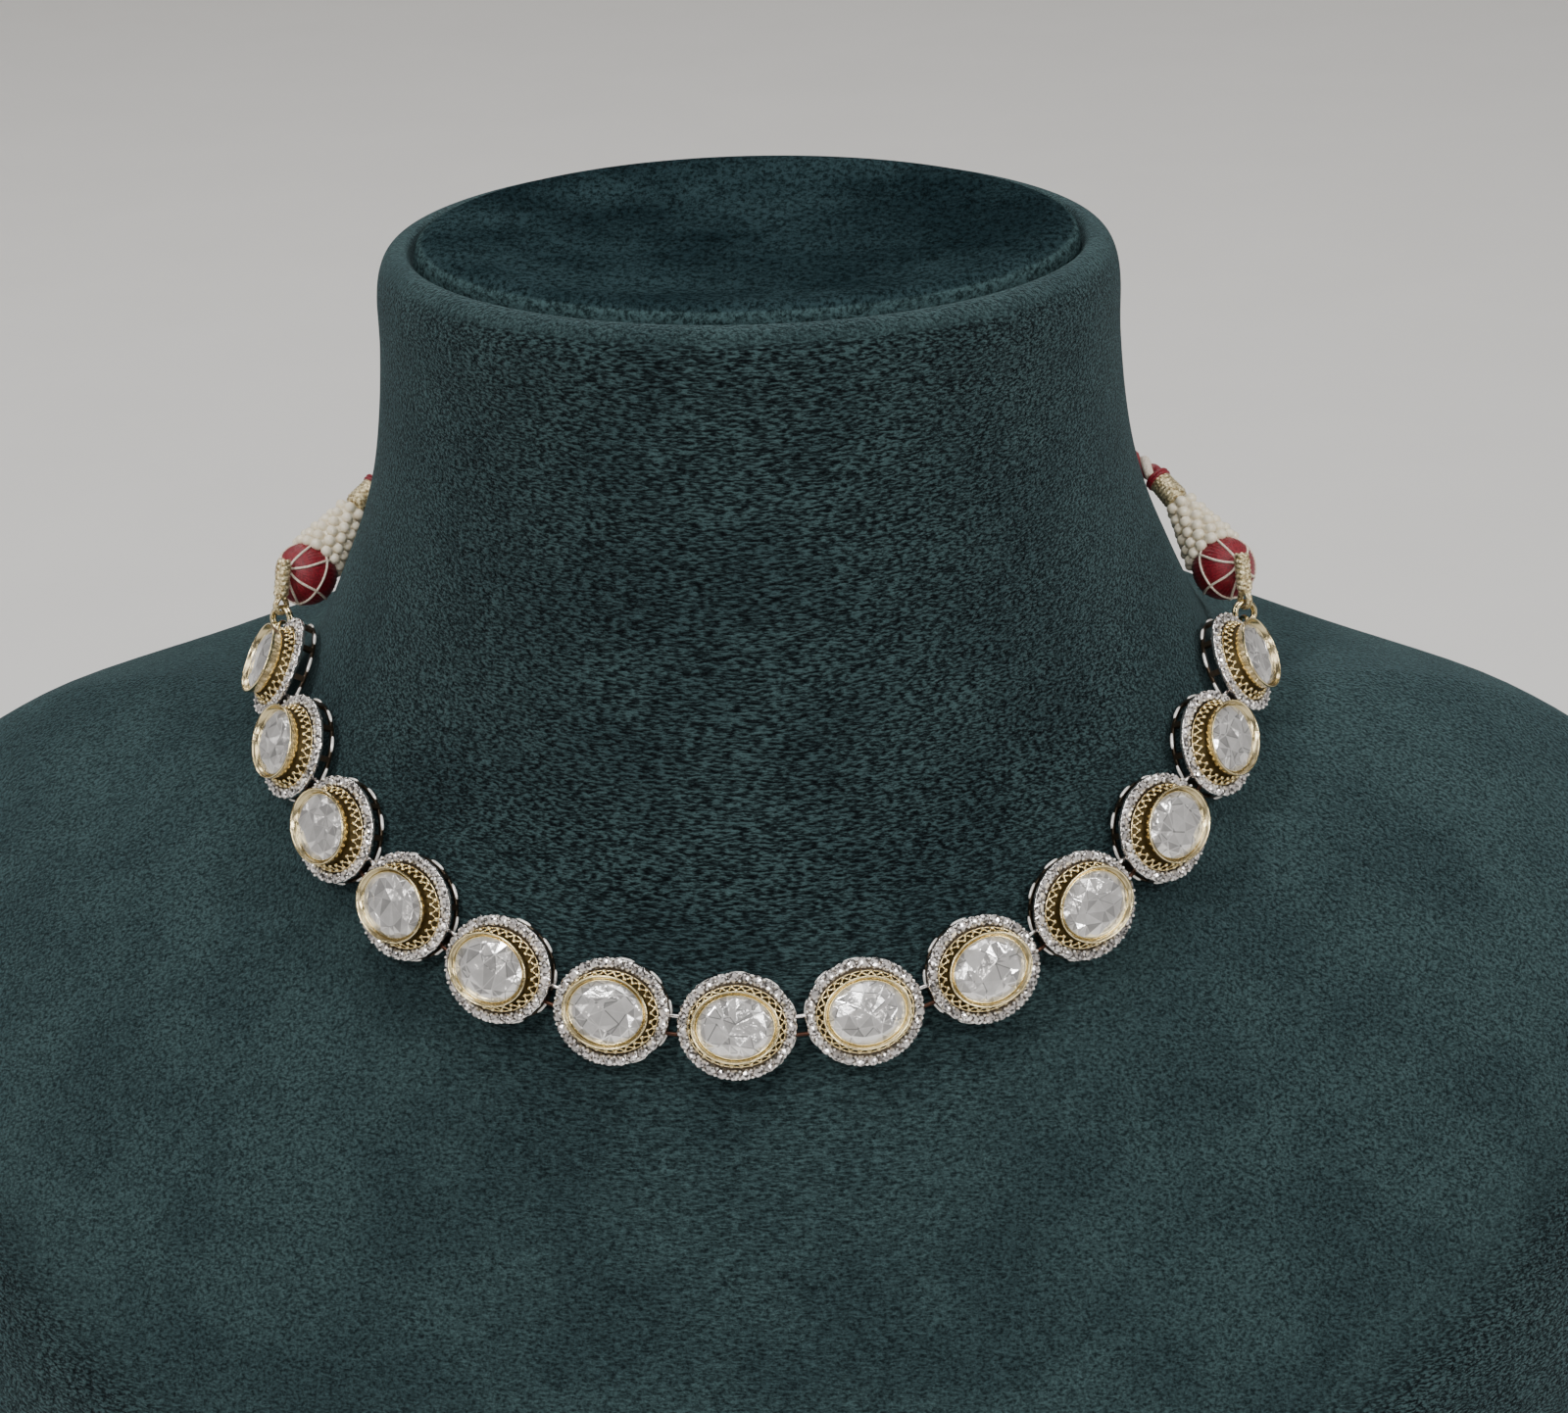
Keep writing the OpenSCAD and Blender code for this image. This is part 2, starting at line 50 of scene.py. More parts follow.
STONE_LEN, STONE_WID, STONE_H = 10.0, 8.2, 1.7
STONE_GAP, RIM_FLARE, RIM_H, RIM_LIP = 0.1, 0.9, 3.3, 0.2
SEAT_DROP, BACK_SHARE, SKIRT_H = 0.8, 0.55, 1.2
HALO_LEN, HALO_WID, HALO_T = 16.0, 14.4, 0.8
GALLERY_H, WINDOWS, POST_W, WALL, RAIL_H, INSET = 2.6, 10, 0.8, 0.5, 0.5, 0.3
SIDE_LINKS, LINK_GAP, REST_GAP, END_RISE = 6, 1.0, 0.7, 0.8
RING_WIRE, RING_WID, RING_PLAY = 0.6, 3.0, 0.25
END_WIRE, END_RING_D, EYE_WIRE, EYE_PLAY = 0.8, 4.2, 0.6, 0.32
OVERLAP, CLEAR, LOOP_WIRE = 0.15, 0.1, 0.8
BRAID_D, BALL_D, CONE_D, CONE_TIP_D, SEED_D = 2.4, 9.2, 9.4, 4.6, 1.7
WHIP_D, CORD_D, SLIDER_D, SLIDER_LEN = 4.0, 2.8, 4.8, 7.0
BUST_W, BUST_H, NECK_W, NECK_D = 284.0, 190.0, 105.0, 100.0
CHEST_REACH, BACK_REACH, BODY_SHIFT, PAD_H = 122.0, 60.0, 20.0, 9.0

# Columns: share of the neck's size, share of the pad's height below its top
PAD_ROWS = [
    (0.3, 0.24), (0.56, 0.17), (0.78, 0), (0.845, 0.03), (0.872, 0.13), (0.88, 0.36), (0.902, 0.17), (0.94, 0.2),
    (0.968, 0.42), (0.982, 0.85),
]
# Columns: shares of the width, front reach, back reach and shift, then heights at the side, in front and behind
BODY_ROWS = [
    (-0.01, -0.015, 0, 0, 0.92, 0.92, 0.92),
    (0, -0.008, 0.1, 0, 0.865, 0.845, 0.865),
    (0.02, 0, 0.2, 0, 0.815, 0.745, 0.825),
    (0.06, 0.035, 0.4, 0, 0.76, 0.62, 0.79),
    (0.15, 0.145, 0.7, 0, 0.67, 0.51, 0.74),
    (0.23, 0.32, 1, 0.15, 0.64, 0.405, 0.695),
    (0.42, 0.555, 1, 0.5, 0.63, 0.305, 0.62),
    (0.665, 0.765, 0.8, 0.8, 0.595, 0.215, 0.525),
    (0.88, 0.9, 0.7, 0.9, 0.515, 0.135, 0.41),
    (0.98, 0.97, 0.8, 1, 0.38, 0.07, 0.265),
    (1, 1, 0.8, 1, 0.17, 0.025, 0.105),
    (0.98, 0.985, 0.8, 1, 0, 0, 0),
]
HEIGHT_POWER, CHAIN_ROW, BACK_ROW, STEP = 1.3, 14, 13, 0.001
END_RISE_POWER, SKIRT_SPREAD = 8, 0.55
SEARCH_SPAN, SEARCH_TURNS = 60, 30  # degrees and halvings, in the search for the next setting
BALL_AT, CONE_TIP_AT, WHIP_END_AT = (13.65, 99), (13.26, 107.2), (13.08, 111)
TIP_RISE, WHIP_RISE = 2.0, 1.5
HUB_WAY = (0.4, -0.8, 0.45)
SLIDER_SHARE, SLOPE_SHARE, END_SHARE, TURN_SHARE = 0.06, 0.125, 0.25, 0.85
CORD_GAP, END_CROWD, CORD_RINGS = 0.2, 0.5, 36
WHIP_WRAP, WHIP_SHOW, WHIP_NOSE = 0.3, 0.15, 0.8
MOUTH_SHARE, NEST_SHARE = 0.28, 0.86

# Camera, fitted to the photograph

IMAGE_W = 1600
FOCAL_PX, SENSOR_W, CLIP_START = 3875.0, 36, 0.01
CAM_AT = (36.38, -511.71, 320.39)
CAM_ELEVATION, CAM_YAW, CAM_ROLL = 21.5, 3.7, -1.6


def sind(a):
    return math.sin(math.radians(a))


def cosd(a):
    return math.cos(math.radians(a))


def unit(v):
    v = np.asarray(v, float)
    return v / np.linalg.norm(v)


def catmull_rom(a, b, c, d, t):
    """Point at t, from 0 to 1, of the smooth curve from b to c."""
    return (2 * b + (c - a) * t + (2 * a - 5 * b + 4 * c - d) * t ** 2
            + (3 * b - a - 3 * c + d) * t ** 3) / 2


# Skin of the bust, as the CAD model works it out. A ring has half its width, its reach to the front and to the
# back, its shift, and its height at the side, in front and behind.


def pad_ring(row):
    z = BUST_H - row[1] * PAD_H
    return (row[0] * NECK_W / 2, row[0] * NECK_D / 2, row[0] * NECK_D / 2, 0, z, z, z)


def body_ring(row):
    return (
        NECK_W / 2 + row[0] * (BUST_W - NECK_W) / 2,
        NECK_D / 2 + row[1] * (CHEST_REACH - NECK_D / 2),
        NECK_D / 2 + row[2] * (BACK_REACH - NECK_D / 2),
        row[3] * BODY_SHIFT,
        row[4] * BUST_H,
        row[5] * BUST_H,
        row[6] * BUST_H,
    )


RINGS = np.array([pad_ring(r) for r in PAD_ROWS] + [body_ring(r) for r in BODY_ROWS])
LAST_RING = len(RINGS) - 1


def ring_at(u):
    i = min(max(int(math.floor(u)), 0), LAST_RING - 1)
    return catmull_rom(RINGS[max(i - 1, 0)], RINGS[i], RINGS[i + 1], RINGS[min(i + 2, LAST_RING)], u - i)


def ring_point(ring, angle):
    c = cosd(angle)
    reach, far_z = (ring[1], ring[5]) if c >= 0 else (ring[2], ring[6])
    return np.array([
        ring[0] * sind(angle),
        ring[3] - reach * c,
        ring[4] + (far_z - ring[4]) * abs(c) ** HEIGHT_POWER,
    ])


def skin(u, angle):
    """Point of the bust, u rings down from the top and at an angle from the front."""
    return ring_point(ring_at(u), angle)


def skin_normal(u, angle):
    return unit(np.cross(
        skin(u, angle + STEP) - skin(u, angle - STEP),
        skin(u - STEP, angle) - skin(u + STEP, angle),
    ))


def on_skin(at, lift):
    return skin(*at) + lift * skin_normal(*at)


# Places of the settings along the chain. A place is a 4x4 matrix in millimetres.


def place(origin, x, y, z):
    m = np.eye(4)
    m[:3, 0], m[:3, 1], m[:3, 2], m[:3, 3] = x, y, z, origin
    return m


def place_along(origin, way, near):
    x = unit(way)
    near = np.asarray(near, float)
    y = unit(near - (near @ x) * x)
    return place(origin, x, y, np.cross(x, y))


def in_place(m, p):
    return m[:3, :3] @ np.asarray(p, float) + m[:3, 3]


PITCH = HALO_LEN + LINK_GAP


def link_centre(angle):
    lift = REST_GAP + GALLERY_H + END_RISE * abs(sind(angle)) ** END_RISE_POWER
    return on_skin((CHAIN_ROW, angle), lift)


def next_angle(angle):
    low, high = angle, angle + SEARCH_SPAN
    for _ in range(SEARCH_TURNS):
        mid = (low + high) / 2
        if np.linalg.norm(link_centre(mid) - link_centre(angle)) < PITCH:
            low = mid
        else:
            high = mid
    return (low + high) / 2


def link_place(angle):
    z = skin_normal(CHAIN_ROW, angle)
    way = link_centre(angle + STEP) - link_centre(angle - STEP)
    x = unit(way - (way @ z) * z)
    return place(link_centre(angle), x, np.cross(z, x), z)


side_angles = [0.0]
for _ in range(SIDE_LINKS):
    side_angles.append(next_angle(side_angles[-1]))
LINKS = [link_place(a) for a in [-a for a in side_angles[:0:-1]] + side_angles]

RAIL_R = HALO_LEN / 2 - INSET
POST_R = RAIL_R - WALL / 2
WINDOW_TOP, WINDOW_BASE = -HALO_T, RAIL_H - GALLERY_H
WINDOW_MID = (WINDOW_TOP + WINDOW_BASE) / 2
HALO_RATIO, STONE_RATIO = HALO_WID / HALO_LEN, STONE_WID / STONE_LEN
GIRDLE_Z = RIM_H - SEAT_DROP
TABLE_Z = GIRDLE_Z + STONE_H * (1 - BACK_SHARE)
SEAT_R = STONE_LEN / 2 + STONE_GAP
STEM_R = SEAT_R + RIM_LIP
RIM_R = STONE_LEN / 2 + RIM_FLARE
SKIRT_R = RIM_R + SKIRT_SPREAD

# Places of the string ends, on the right; the left side mirrors them

ball_c = on_skin(BALL_AT, BALL_D / 2 + REST_GAP)
cone_tip = on_skin(CONE_TIP_AT, CONE_TIP_D / 2 + TIP_RISE)
whip_end = on_skin(WHIP_END_AT, WHIP_D / 2 + WHIP_RISE)
hub_way = unit(HUB_WAY)
END_LINK = LINKS[-1]
END_Y = END_LINK[:3, 1]
eye_r = (END_WIRE + EYE_WIRE) / 2 + EYE_PLAY
end_ring_r = (END_RING_D - END_WIRE) / 2
loop_r = (END_WIRE + LOOP_WIRE) / 2 + EYE_PLAY
eye_c = in_place(END_LINK, (HALO_LEN / 2 + eye_r - OVERLAP, 0, -HALO_T / 2))
end_way = unit(ball_c + (BALL_D / 2 + BRAID_D) * hub_way - eye_c)
end_ring_c = eye_c + (end_ring_r - EYE_PLAY / 2) * end_way
loop_c = end_ring_c + (end_ring_r + EYE_PLAY / 2) * end_way
hub = ball_c + (BALL_D / 2 + BRAID_D / 2 + CLEAR) * hub_way


def cord_on_skin(t):
    u = BACK_ROW + (WHIP_END_AT[0] - BACK_ROW) * t
    a = 180 - (180 - WHIP_END_AT[1]) * t
    middle = cosd(min(max(t - SLIDER_SHARE, 0) / SLOPE_SHARE, 1) * 90)
    end = max(0, 1 - (1 - t) / END_SHARE)
    end_lift = WHIP_D / 2 + WHIP_RISE - REST_GAP - CORD_D / 2
    return on_skin((u, a), REST_GAP + CORD_D / 2 + (SLIDER_D - CORD_D) / 2 * middle + end_lift * end)


cord_half = np.linalg.norm(cord_on_skin(1 - END_SHARE) - whip_end) / END_SHARE


def cord_point(t):
    s = abs(t)
    on_line = whip_end + (1 - s) * cord_half * unit(whip_end - cone_tip)
    weight = max(0, (s - TURN_SHARE) / (1 - TURN_SHARE)) ** 2
    p = cord_on_skin(s) * (1 - weight) + on_line * weight
    return p * (-1, 1, 1) if t < 0 else p


def crowd(x):
    return (1 + END_CROWD) * x - END_CROWD * x ** 3


cord_end = 1 - CORD_GAP / cord_half
CORD_ROUTE = np.array([cord_point(crowd(2 * k / (CORD_RINGS - 1) - 1) * cord_end) for k in range(CORD_RINGS)])


# Camera


def look(elevation, yaw, roll):
    """Right, up and back of a camera that looks down at the front."""
    back = np.array([sind(yaw) * cosd(elevation), -cosd(yaw) * cosd(elevation), sind(elevation)])
    right = np.array([cosd(yaw), sind(yaw), 0])
    up = np.cross(back, right)
    return right * cosd(roll) + up * sind(roll), up * cosd(roll) - right * sind(roll), back


def add_object(name, data, matrix=None):
    obj = bpy.data.objects.new(name, data)
    bpy.context.scene.collection.objects.link(obj)
    if matrix is not None:
        obj.matrix_world = matrix
    return obj


def to_world(m):
    """A millimetre place as a Blender matrix in metres."""
    m = np.array(m)
    m[:3, 3] *= MM
    return Matrix(m.tolist())


camera_data = bpy.data.cameras.new("camera")
camera_data.sensor_fit = "HORIZONTAL"
camera_data.sensor_width = SENSOR_W
camera_data.lens = FOCAL_PX / IMAGE_W * SENSOR_W
camera_data.clip_start = CLIP_START
camera = add_object("camera", camera_data, to_world(place(CAM_AT, *look(CAM_ELEVATION, CAM_YAW, CAM_ROLL))))
bpy.context.scene.camera = camera


# Materials. Noise scales are per millimetre, and depths are in millimetres.

BLACK, WHITE, UNSTRETCHED = (0, 0, 0), (1, 1, 1), (1, 1, 1)
SHEEN_TINT = (0.45, 0.66, 0.7, 1)
TARNISH = 0.4


class Shader:
    """A principled material with small helpers for the nodes that feed it."""

    def __init__(self, name, color, rough=0.5, metal=0.0, **sockets):
        self.mat = bpy.data.materials.new(name)
        self.mat.use_nodes = True
        self.nodes, self.links = self.mat.node_tree.nodes, self.mat.node_tree.links
        self.bsdf = self.nodes["Principled BSDF"]
        self.bsdf.inputs["Base Color"].default_value = (*color, 1)
        self.bsdf.inputs["Roughness"].default_value = rough
        self.bsdf.inputs["Metallic"].default_value = metal
        for key, value in sockets.items():
            self.bsdf.inputs[key.replace("_", " ")].default_value = value

    def node(self, kind, **values):
        """A new node. Each value goes to its setting of that name, or else to its socket."""
        n = self.nodes.new(kind)
        for key, value in values.items():
            if hasattr(n, key):
                setattr(n, key, value)
            else:
                n.inputs[key.replace("_", " ")].default_value = value
        return n

    def coords(self, stretch):
        """Object coordinates in millimetres, stretched."""
        tex = self.node("ShaderNodeTexCoord")
        mapping = self.node("ShaderNodeMapping", Scale=[1 / MM * s for s in stretch])
        self.links.new(tex.outputs["Object"], mapping.inputs["Vector"])
        return mapping.outputs["Vector"]

    def noise(self, scale, detail=2.0, stretch=UNSTRETCHED, rough=0.5):
        n = self.node("ShaderNodeTexNoise", Scale=scale, Detail=detail, Roughness=rough)
        self.links.new(self.coords(stretch), n.inputs["Vector"])
        return n.outputs["Fac"]

    def ramp(self, fac, stops):
        n = self.node("ShaderNodeValToRGB")
        while len(n.color_ramp.elements) < len(stops):
            n.color_ramp.elements.new(0.5)
        for e, (pos, col) in zip(n.color_ramp.elements, stops):
            e.position = pos
            e.color = (*col, 1)
        self.links.new(fac, n.inputs["Fac"])
        return n.outputs["Color"]

    def mix(self, fac, a, b, blend="MIX"):
        n = self.node("ShaderNodeMix", data_type="RGBA", blend_type=blend)
        for socket, value in ((n.inputs[0], fac), (n.inputs[6], a), (n.inputs[7], b)):
            if isinstance(value, (int, float)):
                socket.default_value = value
            elif isinstance(value, tuple):
                socket.default_value = (*value, 1)
            else:
                self.links.new(value, socket)
        return n.outputs[2]

    def range(self, fac, low, high):
        n = self.node("ShaderNodeMapRange", To_Min=low, To_Max=high)
        self.links.new(fac, n.inputs["Value"])
        return n.outputs["Result"]

    def facing_up(self, low, high):
        """Runs from 0 where the normal's Z is low to 1 where it is high."""
        geometry = self.node("ShaderNodeNewGeometry")
        parts = self.node("ShaderNodeSeparateXYZ")
        self.links.new(geometry.outputs["Normal"], parts.inputs["Vector"])
        n = self.node("ShaderNodeMapRange", interpolation_type="SMOOTHSTEP", From_Min=low, From_Max=high)
        self.links.new(parts.outputs["Z"], n.inputs["Value"])
        return n.outputs["Result"]

    def tone(self):
        """The tones that Shape keeps for its faces."""
        return self.node("ShaderNodeVertexColor", layer_name="tone").outputs["Color"]

    def color(self, value):
        self.links.new(value, self.bsdf.inputs["Base Color"])

    def rough(self, value):
        self.links.new(value, self.bsdf.inputs["Roughness"])

    def bumps(self, height, strength, depth):
        n = self.node("ShaderNodeBump", Strength=strength, Distance=depth * MM)
        self.links.new(height, n.inputs["Height"])
        self.links.new(n.outputs["Normal"], self.bsdf.inputs["Normal"])


def make_velvet():
    """Velvet of the body: ridged where it stands upright, finely pebbled where it slopes. Its colour is painted
    darker in the hollows and lighter on the tops of the ridges and pebbles, as painted shade and light, and the
    ridged upright parts come out darker overall as painted shade.
    """
    s = Shader("velvet", (0.03, 0.053, 0.056), 0.85, Sheen_Weight=0.2, Sheen_Roughness=0.35,
               Sheen_Tint=SHEEN_TINT, Specular_IOR_Level=0.06)
    steep = s.facing_up(0.62, 0.3)
    ridges = s.noise(3.3, 2.0, (0.26, 0.6, 1), 0.55)
    pebbles = s.noise(2.6, 2.5, (0.75, 0.9, 1), 0.6)
    # Painted shade and light: the colour is dark in the hollows and light on the tops, from the same noise as the
    # bumps; the ridges' ramp is darker, so the upright parts are painted darker.
    ridge_painted_shade = s.ramp(ridges, [
        (0.36, (0.03, 0.035, 0.045)), (0.48, (0.24, 0.24, 0.25)), (0.58, (0.78, 0.78, 0.78)), (0.68, WHITE),
    ])
    pebble_painted_shade = s.ramp(pebbles, [(0.36, (0.2, 0.21, 0.22)), (0.5, (0.62, 0.62, 0.62)), (0.62, WHITE)])
    patches = s.ramp(s.noise(0.07, 3.0), [(0.38, (0.74, 0.76, 0.78)), (0.58, WHITE)])
    nap = s.ramp(s.noise(4.5, 2.0, rough=0.7), [(0.3, (0.033, 0.061, 0.064)), (0.7, (0.055, 0.096, 0.099))])
    painted_relief_shade = s.mix(steep, pebble_painted_shade, ridge_painted_shade)
    s.color(s.mix(1.0, s.mix(1.0, nap, painted_relief_shade, "MULTIPLY"), patches, "MULTIPLY"))
    s.bumps(s.mix(steep, pebbles, ridges), 1.0, 0.8)
    return s.mat


def make_pad_velvet():
    """Velvet of the pad: its top painted dark and its rolled edge painted lighter, as painted shade and sheen that
    go by how far the surface faces up; the pile is painted darker in its low spots as painted shade.
    """
    s = Shader("pad_velvet", (0.015, 0.032, 0.036), 0.9, Sheen_Weight=0.02, Sheen_Roughness=0.35,
               Sheen_Tint=SHEEN_TINT, Specular_IOR_Level=0.0)
    pile = s.noise(1.5, 4.0, (0.9, 0.45, 1), 0.8)
    patches = s.ramp(s.noise(0.05, 3.0), [(0.35, BLACK), (0.65, WHITE)])
    top = s.mix(patches, (0.011, 0.024, 0.0285), (0.029, 0.056, 0.063))
    # Painted sheen: where the surface turns down from the top, round the rolled edge, the colour is lighter.
    edge = s.mix(s.facing_up(0.84, 0.985), (0.055, 0.098, 0.103), top)
    # Painted shade of the pile: its colour follows the bump's height and is darker in the low spots.
    s.color(s.mix(1.0, edge, s.ramp(pile, [(0.4, (0.2, 0.2, 0.2)), (0.58, WHITE)]), "MULTIPLY"))
    s.bumps(pile, 1.0, 0.8)
    return s.mat


def make_gold(name, color, rough, dark=0.35, metal=1.0):
    """Polished metal, with dark worn patches as strong as dark says."""
    s = Shader(name, color, rough, metal)
    s.color(s.mix(s.range(s.noise(2.2, 3.0), 0.0, dark), color, tuple(c * TARNISH for c in color)))
    s.rough(s.range(s.noise(5.0, 2.0), rough * 0.6, rough * 1.6))
    s.bumps(s.noise(7.0, 2.0), 0.25, 0.05)
    return s.mat


def make_dark():
    s = Shader("oxidised_gallery", (0.03, 0.024, 0.02), 0.35, 0.85)
    s.color(s.mix(s.noise(3.0, 3.0), (0.012, 0.01, 0.009), (0.09, 0.065, 0.04)))
    s.bumps(s.noise(8.0, 2.0), 0.3, 0.06)
    return s.mat


def make_brilliant():
    s = Shader("halo_brilliants", (0.95, 0.93, 0.93), 0.05, 0.5, Coat_Weight=1.0, Coat_Roughness=0.02)
    tint = s.mix(s.noise(0.35, 1.0), (1.0, 0.9, 0.86), (1.0, 0.98, 0.97))
    # The tones multiply the colour: painted glints and painted shade on the facets.
    s.color(s.mix(1.0, tint, s.tone(), "MULTIPLY"))
    return s.mat


def make_polki():
    s = Shader("polki_stone", (0.85, 0.84, 0.83), 0.08, 0.5,
               Coat_Weight=1.0, Coat_Roughness=0.015, Coat_IOR=1.7)
    cloud = s.mix(s.noise(0.5, 4.0), (0.5, 0.49, 0.48), (1.0, 0.975, 0.95))
    # The tones multiply the colour: painted reflections on the facets and painted highlight and shade lines along
    # their edges.
    s.color(s.mix(1.0, cloud, s.tone(), "MULTIPLY"))
    s.rough(s.range(s.noise(1.3, 3.0), 0.03, 0.2))
    s.bumps(s.noise(0.9, 3.0), 0.5, 0.18)
    return s.mat


def make_thread(name, color, dark, scale=4.0, sheen=0.3, rough=0.5, metal=0.0, depth=0.12):
    s = Shader(name, color, rough, metal, Sheen_Weight=sheen, Sheen_Roughness=0.4)
    s.color(s.mix(s.ramp(s.noise(scale, 3.0), [(0.35, BLACK), (0.6, WHITE)]), dark, color))
    s.bumps(s.noise(scale * 1.5, 2.0), 0.7, depth)
    return s.mat


def make_beads():
    s = Shader("cream_beads", (0.9, 0.85, 0.74), 0.28, Coat_Weight=0.4, Coat_Roughness=0.1,
               Subsurface_Weight=0.1, Subsurface_Scale=0.001)
    s.bsdf.inputs["Subsurface Radius"].default_value = (1.0, 0.8, 0.5)
    s.color(s.mix(s.noise(0.7, 2.0), (0.8, 0.69, 0.49), (0.95, 0.89, 0.74)))
    s.bumps(s.noise(3.0, 2.0), 0.15, 0.05)
    return s.mat


def make_floor():
    s = Shader("pale_floor", (0.78, 0.77, 0.75), 0.7)
    s.color(s.mix(s.noise(0.02, 3.0), (0.76, 0.75, 0.73), (0.81, 0.8, 0.78)))
    s.bumps(s.noise(1.0, 3.0), 0.1, 0.1)
    return s.mat


VELVET = make_velvet()
PAD_VELVET = make_pad_velvet()
GOLD = make_gold("gold", (0.9, 0.76, 0.44), 0.15)
# A darker copy of the gold for the inner wall of the collet: painted shade inside the cup.
WALL_SHADE_GOLD = make_gold("inner_wall_painted_shade_gold", (0.74, 0.62, 0.36), 0.2, 0.6)
GRANULE_GOLD = make_gold("granule_gold", (0.86, 0.71, 0.4), 0.2, 0.5)
# Near-black gold for the skirt: painted shade under the rim's flare and between the granules.
PAINTED_SHADE_GOLD = make_gold("painted_shade_gold", (0.085, 0.06, 0.023), 0.45, 0.8)
SILVER = make_gold("silver", (0.95, 0.89, 0.86), 0.14, 0.5, metal=0.95)
# A light, hardly metallic plate for the prongs and the rail's dashes: painted highlights.
HIGHLIGHT_PLATE = make_gold("painted_highlight_plate", (0.97, 0.94, 0.9), 0.2, 0.1, metal=0.35)
# Dark brown for the lower strand of each link ring: painted shade.
STRAND_SHADE_BROWN = make_gold("painted_shade_brown", (0.1, 0.05, 0.035), 0.35, 0.8)
DARK = make_dark()
BRILLIANT = make_brilliant()
POLKI = make_polki()
RED_THREAD = make_thread("red_thread", (0.27, 0.008, 0.02), (0.11, 0.002, 0.007), sheen=0.1, rough=0.38)
CREAM_THREAD = make_thread("cream_thread", (0.88, 0.8, 0.68), (0.6, 0.48, 0.36), sheen=0.2)
PALE_GOLD_THREAD = make_thread("pale_gold_thread", (0.95, 0.83, 0.52), (0.26, 0.18, 0.07), scale=2.4,
                               sheen=0.1, rough=0.28, metal=0.7, depth=0.3)
BEADS = make_beads()


# Mesh building, in millimetres

X, Y, Z = (1, 0, 0), (0, 1, 0), (0, 0, 1)
OVAL_STEPS, FINE_STEPS, OVAL_SAMPLES = 96, 112, 721
Z_TO_X = np.array([[0, 0, 1, 0], [1, 0, 0, 0], [0, 1, 0, 0], [0, 0, 0, 1]], float)  # lays a Z axis along X


class Shape:
    """Gathers vertices and faces of one mesh, with the material, smoothness and tone of each face."""

    def __init__(self):
        self.verts, self.faces, self.mats, self.smooth, self.tones = [], [], [], [], []

    def add(self, verts, faces, mat=0, smooth=True, m=None, tones=None):
        verts = np.asarray(verts, float)
        if m is not None:
            verts = verts @ m[:3, :3].T + m[:3, 3]
        start = len(self.verts)
        self.verts.extend(verts.tolist())
        self.faces.extend([[i + start for i in f] for f in faces])
        self.mats.extend([mat] * len(faces))
        self.smooth.extend([smooth] * len(faces))
        self.tones.extend(tones if tones else [1.0] * len(faces))

    def mesh(self, name, materials):
        me = bpy.data.meshes.new(name)
        me.from_pydata([[c * MM for c in v] for v in self.verts], [], self.faces)
        me.polygons.foreach_set("material_index", self.mats)
        me.polygons.foreach_set("use_smooth", self.smooth)
        if min(self.tones) < 1:
            tone = me.color_attributes.new("tone", "FLOAT_COLOR", "CORNER")
            for face, value in zip(me.polygons, self.tones):
                for corner in face.loop_indices:
                    tone.data[corner].color = (value, value, value, 1)
        for mat in materials:
            me.materials.append(mat)
        me.validate()
        me.update()
        return me


def grid_faces(rows, cols, close_rows=False):
    """Faces between rows of cols vertices. Each row runs round, and so does the stack with close_rows."""
    faces = []
    for i in range(rows if close_rows else rows - 1):
        for j in range(cols):
            k, n = (i + 1) % rows, (j + 1) % cols
            faces.append((i * cols + j, i * cols + n, k * cols + n, k * cols + j))
    return faces


def fan(tip, start, count, turned=False):
    """Triangles from one vertex to a ring of count vertices."""
    pairs = [(start + j, start + (j + 1) % count) for j in range(count)]
    return [(tip, b, a) if turned else (tip, a, b) for a, b in pairs]


def circle(r, count):
    return [(r * math.cos(t), r * math.sin(t), 0) for t in np.linspace(0, 2 * math.pi, count, endpoint=False)]


def lathe(shape, profile, ratio, steps, mat=0, closed=False, m=None):
    """Turns a profile of (radius, z) round Z into an oval body. Faces look left of the profile's way."""
    a = np.linspace(0, 2 * math.pi, steps, endpoint=False)
    verts = [(r * math.cos(t), r * ratio * math.sin(t), z) for r, z in profile for t in a]
    shape.add(verts, grid_faces(len(profile), steps, close_rows=closed), mat, True, m)


def ball_mesh(radius, segments, rings, squash=1.0):
    verts = [(0, 0, radius * squash)]
    for i in range(1, rings):
        t = math.pi * i / rings
        verts += [(radius * math.sin(t) * math.cos(a), radius * math.sin(t) * math.sin(a),
                   radius * squash * math.cos(t)) for a in np.linspace(0, 2 * math.pi, segments, endpoint=False)]
    verts.append((0, 0, -radius * squash))
    faces = fan(0, 1, segments)
    faces += [(1 + a, 1 + d, 1 + c, 1 + b) for a, b, c, d in grid_faces(rings - 1, segments)]
    faces += fan(len(verts) - 1, 1 + (rings - 2) * segments, segments, turned=True)
    return verts, faces


